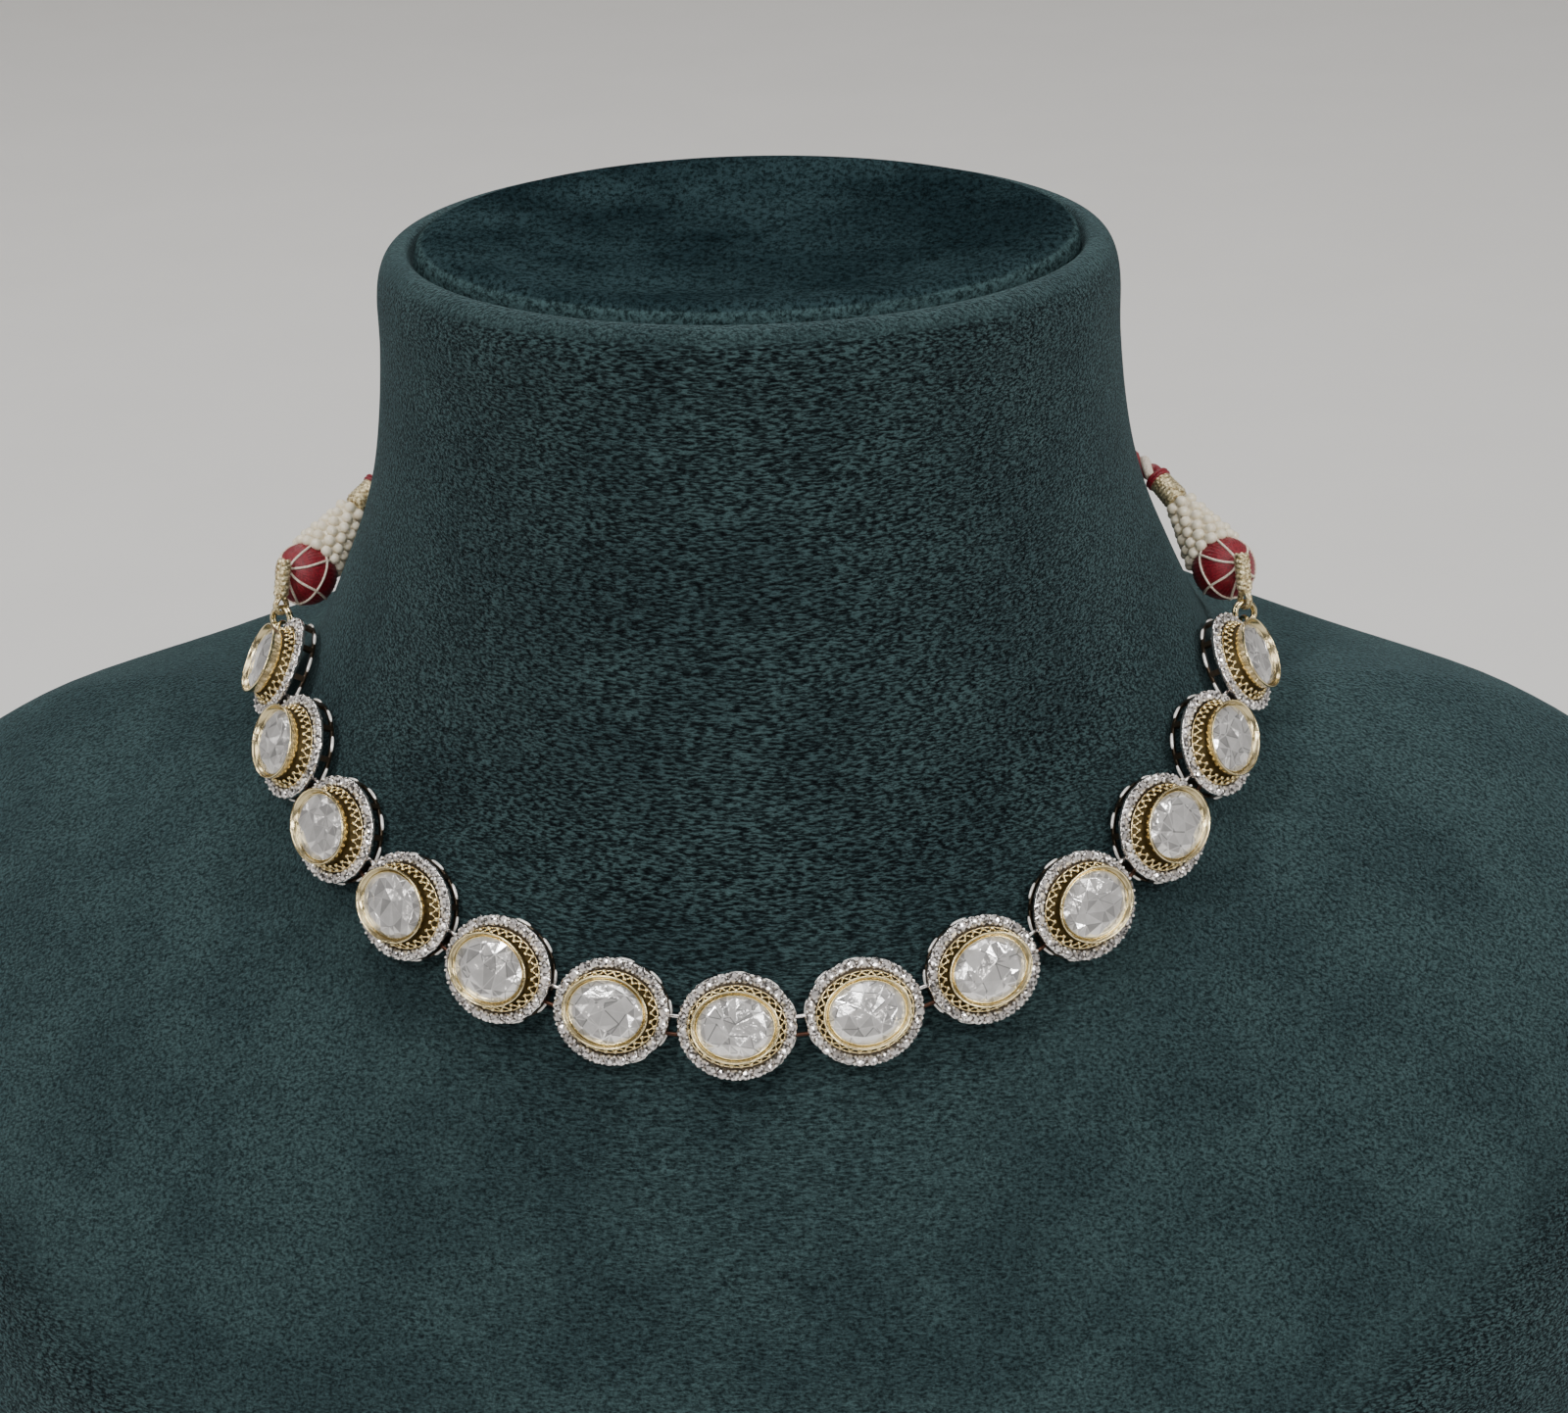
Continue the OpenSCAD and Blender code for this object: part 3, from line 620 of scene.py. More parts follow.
def tube(shape, points, radius, sides, closed=False, mat=0, m=None):
    """A round tube along points. radius is one number or one for each point."""
    pts = np.asarray(points, float)
    n = len(pts)
    radii = np.full(n, radius) if np.isscalar(radius) else np.asarray(radius, float)
    if closed:
        ways = np.roll(pts, -1, 0) - np.roll(pts, 1, 0)
    else:
        ways = np.vstack([pts[1:2] - pts[:1], pts[2:] - pts[:-2], pts[-1:] - pts[-2:-1]])
    ways /= np.linalg.norm(ways, axis=1)[:, None]
    side = np.cross(ways[0], Z if abs(ways[0][2]) < 0.9 else X)
    verts = []
    angles = np.linspace(0, 2 * math.pi, sides, endpoint=False)
    for p, w, r in zip(pts, ways, radii):
        side = unit(side - (side @ w) * w)
        other = np.cross(w, side)
        verts += [p + r * (math.cos(a) * side + math.sin(a) * other) for a in angles]
    faces = grid_faces(n, sides, close_rows=closed)
    if not closed:
        faces += [tuple(range(sides))[::-1], tuple((n - 1) * sides + j for j in range(sides))]
    shape.add(verts, faces, mat, True, m)


def oval_points(a, b, count, turn=0.0):
    """Evenly spaced points on an oval, each with the way that faces out."""
    t = np.linspace(0, 2 * math.pi, OVAL_SAMPLES)
    x, y = a * np.cos(t), b * np.sin(t)
    run = np.concatenate([[0], np.cumsum(np.hypot(np.diff(x), np.diff(y)))])
    out = []
    for k in range(count):
        s = ((k + turn) / count % 1) * run[-1]
        ang = np.interp(s, run, t)
        normal = unit((math.cos(ang) / a, math.sin(ang) / b, 0))
        out.append((np.array([a * math.cos(ang), b * math.sin(ang), 0]), normal))
    return out


def finish(name, shape_or_mesh, materials=None, matrix=None, replaces=()):
    """Makes the object, puts it in place and ties it to the frame."""
    mesh = shape_or_mesh.mesh(name, materials) if isinstance(shape_or_mesh, Shape) else shape_or_mesh
    obj = add_object(name, mesh, matrix)
    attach(obj, "root")
    if replaces:
        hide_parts(*replaces)
    return obj


def mirrored(shape):
    """The same shape on the other side of the YZ plane."""
    other = Shape()
    other.verts = [[-v[0], v[1], v[2]] for v in shape.verts]
    other.faces = [f[::-1] for f in shape.faces]
    other.mats, other.smooth, other.tones = list(shape.mats), list(shape.smooth), list(shape.tones)
    return other


# Cord round the back of the neck: three strands twisted together

STRANDS, STRAND_TURN = 3, 9.0
CORD_STEPS, CORD_SIDES, ROUTE_STEPS = 260, 10, 12
STRAND_FIT, STRAND_PRESS = 1.02, 1.12  # the strands are soft and press into one another


def smooth_route(points, count):
    """Smooth curve through the points, evenly sampled, and its length."""
    pts = np.vstack([2 * points[0] - points[1], points, 2 * points[-1] - points[-2]])
    fine = []
    for i in range(1, len(pts) - 2):
        fine += [catmull_rom(*pts[i - 1:i + 3], t) for t in np.linspace(0, 1, ROUTE_STEPS, endpoint=False)]
    fine.append(points[-1])
    fine = np.array(fine)
    run = np.concatenate([[0], np.cumsum(np.linalg.norm(np.diff(fine, axis=0), axis=1))])
    at = np.linspace(0, run[-1], count)
    return np.stack([np.interp(at, run, fine[:, k]) for k in range(3)], 1), run[-1]


def frames_along(points):
    """Each point, with two ways square to the line there."""
    ways = np.gradient(points, axis=0)
    ways /= np.linalg.norm(ways, axis=1)[:, None]
    side = np.cross(Z, ways[0])
    out = []
    for p, w in zip(points, ways):
        side = unit(side - (side @ w) * w)
        out.append((p, side, np.cross(w, side)))
    return out


cord_line, cord_len = smooth_route(CORD_ROUTE, CORD_STEPS)
strand_r = CORD_D / 2 / (1 + 2 / math.sqrt(3)) * STRAND_FIT
strand_off = CORD_D / 2 - strand_r
cord = Shape()
for k in range(STRANDS):
    pts = []
    for i, (p, a, b) in enumerate(frames_along(cord_line)):
        t = 2 * math.pi * (i / (CORD_STEPS - 1) * cord_len / STRAND_TURN + k / STRANDS)
        pts.append(p + strand_off * (math.cos(t) * a + math.sin(t) * b))
    tube(cord, pts, strand_r * STRAND_PRESS, CORD_SIDES, mat=0 if k < 2 else 1)
dori = finish("dori_twisted_cord", cord, [RED_THREAD, CREAM_THREAD], None, ["dori_cord"])

# Slider at the back: a bead of wound thread

SLIDER_TURNS, TURN_STEPS = 14, 6
SLIDER_PLAY, SLIDER_SWELL, SLIDER_RIDGE = 0.12, 0.25, 0.13
SLIDER_BORE_R = CORD_D / 2 + SLIDER_PLAY
profile = [(SLIDER_BORE_R, -SLIDER_LEN / 2)]
for k in range(SLIDER_TURNS * TURN_STEPS + 1):
    t = k / (SLIDER_TURNS * TURN_STEPS)
    swell = SLIDER_SWELL * math.sin(math.pi * t)
    ridge = SLIDER_RIDGE * abs(math.sin(math.pi * t * SLIDER_TURNS))
    profile.append((SLIDER_D / 2 - SLIDER_SWELL - SLIDER_RIDGE + swell + ridge, SLIDER_LEN * (t - 0.5)))
profile.append((SLIDER_BORE_R, SLIDER_LEN / 2))
slider = Shape()
lathe(slider, profile, 1.0, 40, closed=True, m=place(cord_point(0), (0, 0, -1), Y, X))
slider_obj = finish("slider_wound_bead", slider, [PALE_GOLD_THREAD], None, ["slider"])

# Bust

BUST_SIDES, BUST_STEPS = 200, 7
PAD_EDGE_RING = 5  # the seam between the pad and the body
PAD_DIP = 0.1  # at the middle of the pad
bust = Shape()
rows = LAST_RING * BUST_STEPS + 1
verts = []
for i in range(rows):
    ring = ring_at(i / BUST_STEPS)
    verts += [ring_point(ring, 360 * j / BUST_SIDES) for j in range(BUST_SIDES)]
faces = [f[::-1] for f in grid_faces(rows, BUST_SIDES)]
top, base = len(verts), len(verts) + 1
verts += [(0, 0, BUST_H - PAD_ROWS[0][1] * PAD_H - PAD_DIP), (0, BODY_SHIFT, 0)]
faces += fan(top, 0, BUST_SIDES) + fan(base, (rows - 1) * BUST_SIDES, BUST_SIDES, turned=True)
bust.add(verts, faces)
pad_faces = PAD_EDGE_RING * BUST_STEPS * BUST_SIDES
bust.mats = [1 if k < pad_faces or len(f) == 3 and top in f else 0 for k, f in enumerate(faces)]
finish("velvet_bust", bust, [VELVET, PAD_VELVET], None, ["bust"])

# Setting: flared collet, granulated skirt, halo of brilliants, open gallery and rear rail

HALO_STONES, HALO_STONE_R, HALO_INSET = 27, 0.76, 0.8
HALO_A, HALO_B = HALO_LEN / 2 - HALO_INSET, HALO_WID / 2 - HALO_INSET
GRANULES = 28
# A row's place outside the stem, height, granule radius, and turn in granules
UPPER_ROW, LOWER_ROW = (0.5, SKIRT_H - 0.2, 0.31, 0.0), (1.02, 0.4, 0.36, 0.5)
ZIGZAG_R, FOOT_WIRE_R, FOOT_OUT, FOOT_Z = 0.17, 0.12, 0.04, 0.06
PLATE_IN, PLATE_TOP, SHADE_SHEET_Z = SKIRT_R - 0.6, -0.2, -0.17
CUP_SIDES = 14
PRONG_R, PRONG_SQUASH, PRONG_Z, PRONG_ROWS = 0.2, 1.2, 0.06, (0.52, -0.44)
DASH_SPAN, DASH_RISE = 0.24, 0.55  # half a dash as a share of its window, and its height on the rail
DASH_RADII = [0.14, 0.22, 0.24, 0.24, 0.24, 0.22, 0.14]
BOX_FACES = [(0, 1, 3, 2), (4, 6, 7, 5), (0, 4, 5, 1), (2, 3, 7, 6), (0, 2, 6, 4), (1, 5, 7, 3)]

setting = Shape()
M_GOLD, M_GRANULE, M_SILVER, M_DARK, M_PAINTED_SHADE, M_WALL_SHADE, M_HIGHLIGHT_PLATE = range(7)
SEAT_LINE = [
    (STONE_LEN * 0.42, GIRDLE_Z - 0.6), (SEAT_R - 0.08, GIRDLE_Z - 0.5), (SEAT_R - 0.08, GIRDLE_Z + 0.06),
    (SEAT_R - 0.03, GIRDLE_Z + 0.15), (SEAT_R + 0.06, GIRDLE_Z + 0.17), (SEAT_R + 0.12, GIRDLE_Z + 0.08),
    (SEAT_R + 0.14, GIRDLE_Z),
]
INNER_WALL = [
    (SEAT_R + 0.12, GIRDLE_Z + 0.04), (SEAT_R + 0.24, GIRDLE_Z + 0.14), (SEAT_R + 0.44, RIM_H - 0.34),
    (RIM_R - RIM_LIP - 0.08, RIM_H - 0.12),
]
RIM = [
    (RIM_R - RIM_LIP - 0.09, RIM_H - 0.14), (RIM_R - RIM_LIP - 0.05, RIM_H - 0.05), (RIM_R - RIM_LIP + 0.03, RIM_H),
    (RIM_R - 0.07, RIM_H), (RIM_R, RIM_H - 0.07), (RIM_R, RIM_H - 0.2), (RIM_R - 0.06, RIM_H - 0.34),
    (STEM_R + 0.28, SKIRT_H + 1.0), (STEM_R + 0.08, SKIRT_H + 0.5), (STEM_R, SKIRT_H + 0.3),
]
SKIRT = [
    (STEM_R, SKIRT_H + 0.32), (STEM_R + 0.02, SKIRT_H), (STEM_R + 0.3, SKIRT_H - 0.3), (SKIRT_R - 0.35, 0.3),
    (SKIRT_R - 0.12, 0.05), (SKIRT_R - 0.1, -0.3),
]
lathe(setting, SEAT_LINE, STONE_RATIO, FINE_STEPS, M_GOLD)
# The inner wall in the darker gold: painted shade inside the cup.
lathe(setting, INNER_WALL, STONE_RATIO, FINE_STEPS, M_WALL_SHADE)
lathe(setting, RIM, STONE_RATIO, FINE_STEPS, M_GOLD)
# The skirt in near-black gold: painted shade under the flare and between the granules.
lathe(setting, SKIRT, STONE_RATIO, OVAL_STEPS, M_PAINTED_SHADE)


def granule_row(out, z, size, turn):
    """Centres of a row of granules round the skirt."""
    r = STEM_R + out
    centres = [p + (0, 0, z) for p, _ in oval_points(r, r * STONE_RATIO, GRANULES, turn)]
    v, f = ball_mesh(size, 10, 6)
    for c in centres:
        setting.add(v, f, M_GRANULE, True, place(c, X, Y, Z))
    return centres


upper = granule_row(*UPPER_ROW)
lower = granule_row(*LOWER_ROW)
# zigzag wire between the two rows
zigzag = [p for pair in zip(upper, lower) for p in pair]
tube(setting, zigzag, ZIGZAG_R, 6, closed=True, mat=M_GRANULE)
# wire round the foot of the skirt
foot = oval_points(SKIRT_R + FOOT_OUT, (SKIRT_R + FOOT_OUT) * STONE_RATIO, OVAL_STEPS)
tube(setting, [p + (0, 0, FOOT_Z) for p, _ in foot], FOOT_WIRE_R, 8, closed=True, mat=M_GRANULE)
# halo plate, with its edge a little inside the stones, and a dark sheet just above it under the stones: painted
# shade between them
PLATE = [
    (PLATE_IN, PLATE_TOP), (HALO_LEN / 2 - 0.3, PLATE_TOP), (HALO_LEN / 2 - 0.14, -0.3),
    (HALO_LEN / 2 - 0.14, -HALO_T + 0.1), (HALO_LEN / 2 - 0.25, -HALO_T), (PLATE_IN, -HALO_T),
]
lathe(setting, PLATE, HALO_RATIO, OVAL_STEPS, M_SILVER, closed=True)
lathe(setting, [(HALO_LEN / 2 - 0.45, SHADE_SHEET_Z), (PLATE_IN, SHADE_SHEET_Z)], HALO_RATIO, OVAL_STEPS, M_DARK)
# a cup round each halo stone, and prongs between the stones, in the light plate as painted highlights
CUP = [
    (HALO_STONE_R - 0.04, -0.1), (HALO_STONE_R + 0.04, -0.14), (HALO_STONE_R + 0.02, -0.5),
    (HALO_STONE_R - 0.1, -0.75),
]
for p, n in oval_points(HALO_A, HALO_B, HALO_STONES):
    lathe(setting, CUP, 1.0, CUP_SIDES, M_SILVER, m=place(p, n, (-n[1], n[0], 0), Z))
for out in PRONG_ROWS:
    for p, n in oval_points(HALO_A, HALO_B, HALO_STONES, 0.5):
        v, f = ball_mesh(PRONG_R, 8, 6, PRONG_SQUASH)
        setting.add(v, f, M_HIGHLIGHT_PLATE, True, place(p + n * out + (0, 0, PRONG_Z), X, Y, Z))
# gallery posts, and bright dashes on the rail between them, in the light plate: painted highlights on the rail
post_size = (WALL / 2, POST_W / 2, (WINDOW_TOP - WINDOW_BASE) / 2 + OVERLAP)
post = [(sx * post_size[0], sy * post_size[1], sz * post_size[2])
        for sx in (-1, 1) for sy in (-1, 1) for sz in (-1, 1)]
for i in range(WINDOWS):
    a = 2 * math.pi * i / WINDOWS
    c = np.array([POST_R * math.cos(a), POST_R * HALO_RATIO * math.sin(a), WINDOW_MID])
    n = unit((math.cos(a), math.sin(a) / HALO_RATIO, 0))
    setting.add(post, BOX_FACES, M_DARK, False, place(c, n, (-n[1], n[0], 0), Z))
    pts = []
    for t in np.linspace(-DASH_SPAN, DASH_SPAN, len(DASH_RADII)):
        b = a + math.pi / WINDOWS + t * 2 * math.pi / WINDOWS
        pts.append((RAIL_R * math.cos(b), RAIL_R * HALO_RATIO * math.sin(b), -GALLERY_H + RAIL_H * DASH_RISE))
    tube(setting, pts, DASH_RADII, 8, mat=M_HIGHLIGHT_PLATE)
RAIL = [(RAIL_R - WALL, -GALLERY_H), (RAIL_R - WALL, WINDOW_BASE), (RAIL_R - 0.06, WINDOW_BASE),
        (RAIL_R, WINDOW_BASE - 0.06), (RAIL_R, -GALLERY_H + 0.06), (RAIL_R - 0.06, -GALLERY_H)]
lathe(setting, RAIL, HALO_RATIO, OVAL_STEPS, M_DARK, closed=True)


def eye_shape():
    """The wire eye of an end setting, which holds the end ring."""
    eye = Shape()
    pts = [(x, 0, y) for x, y, _ in circle(eye_r, 28)]
    tube(eye, pts, EYE_WIRE / 2, 10, closed=True, mat=M_GOLD, m=place_along(eye_c, end_way, END_Y))
    return eye


SETTING_MATERIALS = [GOLD, GRANULE_GOLD, SILVER, DARK, PAINTED_SHADE_GOLD, WALL_SHADE_GOLD, HIGHLIGHT_PLATE]
setting_mesh = setting.mesh("setting", SETTING_MATERIALS)
for i, m in enumerate(LINKS):
    name = "setting_%02d" % (i + 1)
    finish(name + "_gold", setting_mesh, None, to_world(m), [name])
finish("end_eye_right", eye_shape(), SETTING_MATERIALS, None)
finish("end_eye_left", mirrored(eye_shape()), SETTING_MATERIALS, None)

# Halo brilliants, one mesh for each halo

# Shares of the stone's radius
TABLE_SHARE, TABLE_RISE, KITE_SHARE, KITE_RISE, POINT_DROP, CROWN_RISE = 0.56, 0.36, 0.8, 0.2, 0.7, 0.4
HALO_SEED, HALO_TURN, HALO_TILT = 11, 0.8, 0.2
HALO_STONE_PLAY, HALO_STONE_Z = 0.02, -0.03


def brilliant(radius, turn):
    """Round cut: table in eight parts, eight kites, sixteen edge facets, and a pointed back."""
    t = np.arange(8) * math.pi / 4 + turn
    g = np.arange(16) * math.pi / 8 + turn
    verts = []
    for share, rise, angles in ((TABLE_SHARE, TABLE_RISE, t), (KITE_SHARE, KITE_RISE, t + math.pi / 8), (1, 0, g)):
        verts += [(share * radius * math.cos(a), share * radius * math.sin(a), rise * radius) for a in angles]
    verts += [(0, 0, -POINT_DROP * radius), (0, 0, CROWN_RISE * radius)]
    faces = fan(33, 0, 8)
    for k in range(8):
        faces += [(k, 8 + k, (k + 1) % 8), (k, 8 + (k - 1) % 8, 16 + 2 * k, 8 + k)]
        faces += [(8 + k, 16 + 2 * k, 16 + 2 * k + 1), (8 + k, 16 + 2 * k + 1, 16 + (2 * k + 2) % 16)]
    return verts, faces + fan(32, 16, 16, turned=True)


def brilliant_painted_glints(rng):
    """Light and dark facets side by side as painted glints, and darker ones at the edge as painted shade, so that
    each stone reads by itself; each stone also gets a painted brightness of its own.
    """
    whole = rng.choice((0.6, 0.85, 0.99, 0.99))
    tones = [whole * rng.choice((0.15, 0.6, 1, 1, 1)) for _ in range(8)]
    for _ in range(8):
        tones += [whole * rng.choice((0.2, 0.7, 1)), whole * rng.choice((0.15, 0.8, 1)), rng.uniform(0.05, 0.4),
                  rng.uniform(0.05, 0.4)]
    return tones + [0.3] * 16


rng = random.Random(HALO_SEED)
for i, m in enumerate(LINKS):
    halo = Shape()
    for p, _ in oval_points(HALO_A, HALO_B, HALO_STONES):
        v, f = brilliant(HALO_STONE_R - HALO_STONE_PLAY, rng.uniform(0, HALO_TURN))
        tilt = unit((rng.uniform(-HALO_TILT, HALO_TILT), rng.uniform(-HALO_TILT, HALO_TILT), 1))
        x = unit(np.cross(Y, tilt))
        tones = brilliant_painted_glints(rng)
        halo.add(v, f, 0, False, place(p + (0, 0, HALO_STONE_Z), x, np.cross(tilt, x), tilt), tones)
    finish("halo_brilliants_%02d" % (i + 1), halo, [BRILLIANT], to_world(m))

# Main stones: each has facets of its own, the largest of which meet at a point off the middle

STONE_SEED = 5
TOP_SPREAD, FACET_TURN = (0.9, 0.7), 0.35
# Columns: points, share of the stone's half size, drop below the table, spread of the share and of the drop
FACET_RINGS = [(8, 0.58, 0.16, 0.1, 0.12), (14, 0.84, 0.34, 0.05, 0.13)]
# Painted reflections: each facet's colour is scaled by one of these tones.
FACET_GLINT_TONES = (0.55, 0.72, 0.84, 0.92, 1.0)
EDGE_POINTS, EDGE_T = 28, 0.15
# Points of small facets, thrown in between: their count, shares, and drop below a dome
CHIPS, CHIP_SHARES, CHIP_DOME, CHIP_DROP = 9, (0.3, 0.85), 0.33, (-0.06, 0.16)
# The lines' tones are painted highlights (1) and painted shade (0.4).
LINE_W, LINE_GLINT_TONES = 0.08, (1, 1, 1, 0.4)  # narrow faces along the edges between facets, most of them light


def bevelled(verts, faces, tones, top_count, rng):
    """Cuts a narrow face along each edge between the first top_count faces, and gives each cut face a light or a
    dark tone: painted highlight and shade lines.
    """
    bm = bmesh.new()
    layer = bm.faces.layers.float.new("tone")
    corners = [bm.verts.new(v) for v in verts]
    made = []
    for f, tone in zip(faces, tones):
        made.append(bm.faces.new([corners[i] for i in f]))
        made[-1][layer] = tone
    top = set(made[:top_count])
    edges = [e for e in bm.edges if len(e.link_faces) == 2 and all(f in top for f in e.link_faces)]
    cuts = bmesh.ops.bevel(bm, geom=edges, offset=LINE_W, offset_type="OFFSET", segments=1, profile=0.5,
                           affect="EDGES", clamp_overlap=True)
    for f in cuts["faces"]:
        f[layer] = rng.choice(LINE_GLINT_TONES)
    bm.verts.index_update()
    verts = [tuple(v.co) for v in bm.verts]
    faces = [tuple(v.index for v in f.verts) for f in bm.faces]
    tones = [f[layer] for f in bm.faces]
    bm.free()
    return verts, faces, tones


def polki(rng):
    """Vertices, faces and the tone of each face of one stone; the tones are painted reflections on the facets."""
    a, b = STONE_LEN / 2, STONE_WID / 2
    points = [(*(rng.uniform(-spread, spread) for spread in TOP_SPREAD), TABLE_Z)]
    for count, share, drop, share_spread, drop_spread in FACET_RINGS:
        for k in range(count):
            t = 2 * math.pi * (k + rng.uniform(-FACET_TURN, FACET_TURN)) / count
            r = share + rng.uniform(-share_spread, share_spread)
            z = TABLE_Z - drop - rng.uniform(-drop_spread, drop_spread)
            points.append((r * a * math.cos(t), r * b * math.sin(t), z))
    for _ in range(CHIPS):
        t, r = rng.uniform(0, 2 * math.pi), rng.uniform(*CHIP_SHARES)
        z = TABLE_Z - CHIP_DOME * r ** 2 - rng.uniform(*CHIP_DROP)
        points.append((r * a * math.cos(t), r * b * math.sin(t), z))
    inner = len(points)
    edge = [2 * math.pi * k / EDGE_POINTS for k in range(EDGE_POINTS)]
    points += [(a * math.cos(t), b * math.sin(t), GIRDLE_Z) for t in edge]
    loop = list(range(inner, inner + EDGE_POINTS))
    top_faces = delaunay_2d_cdt([Vector(p[:2]) for p in points], [], [loop], 1, 1e-6)[2]
    verts = points + [(a * math.cos(t), b * math.sin(t), GIRDLE_Z - EDGE_T) for t in edge]
    faces = [tuple(f) for f in top_faces]
    for j in range(EDGE_POINTS):
        e, n = inner + j, inner + (j + 1) % EDGE_POINTS
        faces.append((e, e + EDGE_POINTS, n + EDGE_POINTS, n))
    faces += fan(len(verts), inner + EDGE_POINTS, EDGE_POINTS, turned=True)
    verts.append((0, 0, GIRDLE_Z - STONE_H * BACK_SHARE))
    return bevelled(verts, faces, [rng.choice(FACET_GLINT_TONES) for _ in faces], len(top_faces), rng)


rng = random.Random(STONE_SEED)
for i, m in enumerate(LINKS):
    stone = Shape()
    v, f, tones = polki(rng)
    stone.add(v, f, 0, False, tones=tones)
    number = "%02d" % (i + 1)
    finish("polki_" + number, stone, [POLKI], to_world(m), ["stone_" + number])

# Oval rings between the settings, silver on the upper strand, and the lower strand painted dark brown as shade


def stadium(half_len, half_wid, count):
    """Points round a straight-sided oval."""
    straight = half_len - half_wid
    pts = []
    for side in (1, -1):
        for t in np.linspace(-math.pi / 2, math.pi / 2, count):
            pts.append((side * (straight + half_wid * math.cos(t)), side * half_wid * math.sin(t), 0))
    return pts


for i, (left, right) in enumerate(zip(LINKS, LINKS[1:])):
    a = in_place(left, (POST_R, 0, WINDOW_MID))
    b = in_place(right, (-POST_R, 0, WINDOW_MID))
    x = unit(b - a)
    lean = left[:3, 2] + right[:3, 2]
    z = unit(lean - (lean @ x) * x)
    half_len = (np.linalg.norm(b - a) + WALL + RING_WIRE) / 2 + RING_PLAY
    ring = Shape()
    tube(ring, stadium(half_len, (RING_WID - RING_WIRE) / 2, 12), RING_WIRE / 2, 10, closed=True)
    # Painted shade: the lower strand is dark brown, the upper one silver.
    ring.mats = [0 if np.mean([ring.verts[v][1] for v in f]) > 0 else 1 for f in ring.faces]
    number = "%02d" % (i + 1)
    finish("link_ring_%s_wire" % number, ring, [SILVER, STRAND_SHADE_BROWN],
           to_world(place((a + b) / 2, x, np.cross(z, x), z)), ["link_ring_" + number])

# String ends

END_TURN_R, END_TURN_Z = 0.29, 0.27
LOOP_TURN_R, LOOP_TURN_Y = 0.26, 0.24
BRAID_NEST = 0.45  # share of the braid's width that the braid runs into the ball's hub
PLAIT_LEN, PLAIT_STEPS, PLAIT_A, PLAIT_B, PLAIT_R = 2.3, 64, 0.72, 0.45, 0.5
PLAIT_FOOT, PLAIT_SWELL = 0.55, 6


def end_ring_shape():
    """Two turns of wire side by side."""
    ring = Shape()
    m = place_along(end_ring_c, end_way, END_Y)
    for side in (-1, 1):
        pts = [(x, y, side * END_TURN_Z) for x, y, _ in circle(end_ring_r, 40)]
        tube(ring, pts, END_TURN_R, 10, closed=True, m=m)
    return ring


def braid_shape():
    """A plait of three strands from the loop up to the hub on the ball, and the loop itself."""
    shape = Shape()
    start = place_along(loop_c, end_way, END_Y)
    for side in (-1, 1):
        pts = [(x, side * LOOP_TURN_Y, y) for x, y, _ in circle(loop_r, 28)]
        tube(shape, pts, LOOP_TURN_R, 8, closed=True, m=start)
    foot = in_place(start, (loop_r, 0, 0))
    run = hub - foot
    length = np.linalg.norm(run) + BRAID_D * BRAID_NEST
    m = place_along(foot, run, END_Y)
    steps = np.linspace(0, 1, PLAIT_STEPS)
    radii = [PLAIT_R * min(1, PLAIT_FOOT + PLAIT_SWELL * min(t, 1 - t)) for t in steps]
    for k in range(3):
        pts = []
        for t in steps:
            w = 2 * math.pi * (t * length / PLAIT_LEN + k / 3)
            pts.append((t * length, PLAIT_A * math.sin(w), PLAIT_B * math.sin(2 * w)))
        tube(shape, pts, radii, 8, m=m)
    return shape


HUB_FRAME = place_along(ball_c, hub_way, Z)
BALL_ROWS, BALL_COLS, BALL_GROOVES, GROOVE_DEPTH, POLE_GAP = 40, 132, 44, 0.08, 0.001
# Cream threads from the hub over the ball: where each starts, and how it wanders
MERIDIANS, THREAD_SWAY, THREAD_BEND = [0.2, 1.15, 2.3, 3.1, 4.1, 5.2], 0.16, 2.2
THREAD_R, THREAD_LIFT, THREAD_START, THREAD_END = 0.19, 0.02, 0.1, 2.3
LOOSE_R, LOOSE_LIFT, LOOSE_LAT, LOOSE_SWAY, LOOSE_TURN = 0.18, 0.04, 1.3, 0.12, 0.7


def on_ball(lat, lon, r):
    """A point of the ball, lat from the hub."""
    across = r * math.sin(lat)
    return in_place(HUB_FRAME, (r * math.cos(lat), across * math.cos(lon), across * math.sin(lon)))


def ball_shape():
    shape = Shape()
    r = BALL_D / 2
    verts = []
    for i in range(BALL_ROWS + 1):
        lat = math.pi * (i + POLE_GAP) / (BALL_ROWS + 2 * POLE_GAP)
        for j in range(BALL_COLS):
            lon = 2 * math.pi * j / BALL_COLS
            groove = GROOVE_DEPTH * (math.cos(BALL_GROOVES * lon) - 1) * math.sin(lat)
            verts.append(on_ball(lat, lon, r + groove))
    shape.add(verts, grid_faces(BALL_ROWS + 1, BALL_COLS))
    for lon in MERIDIANS:
        pts = [on_ball(lat, lon + THREAD_SWAY * math.sin(lat * THREAD_BEND + lon), r + THREAD_LIFT)
               for lat in np.linspace(THREAD_START, THREAD_END, 26)]
        tube(shape, pts, THREAD_R, 7, mat=1)
    # one thread lies round the ball, a little loose
    pts = [on_ball(LOOSE_LAT + LOOSE_SWAY * math.sin(2 * a + LOOSE_TURN), a, r + LOOSE_LIFT)
           for a in np.linspace(0, 2 * math.pi, 60, endpoint=False)]
    tube(shape, pts, LOOSE_R, 7, closed=True, mat=1)
    return shape


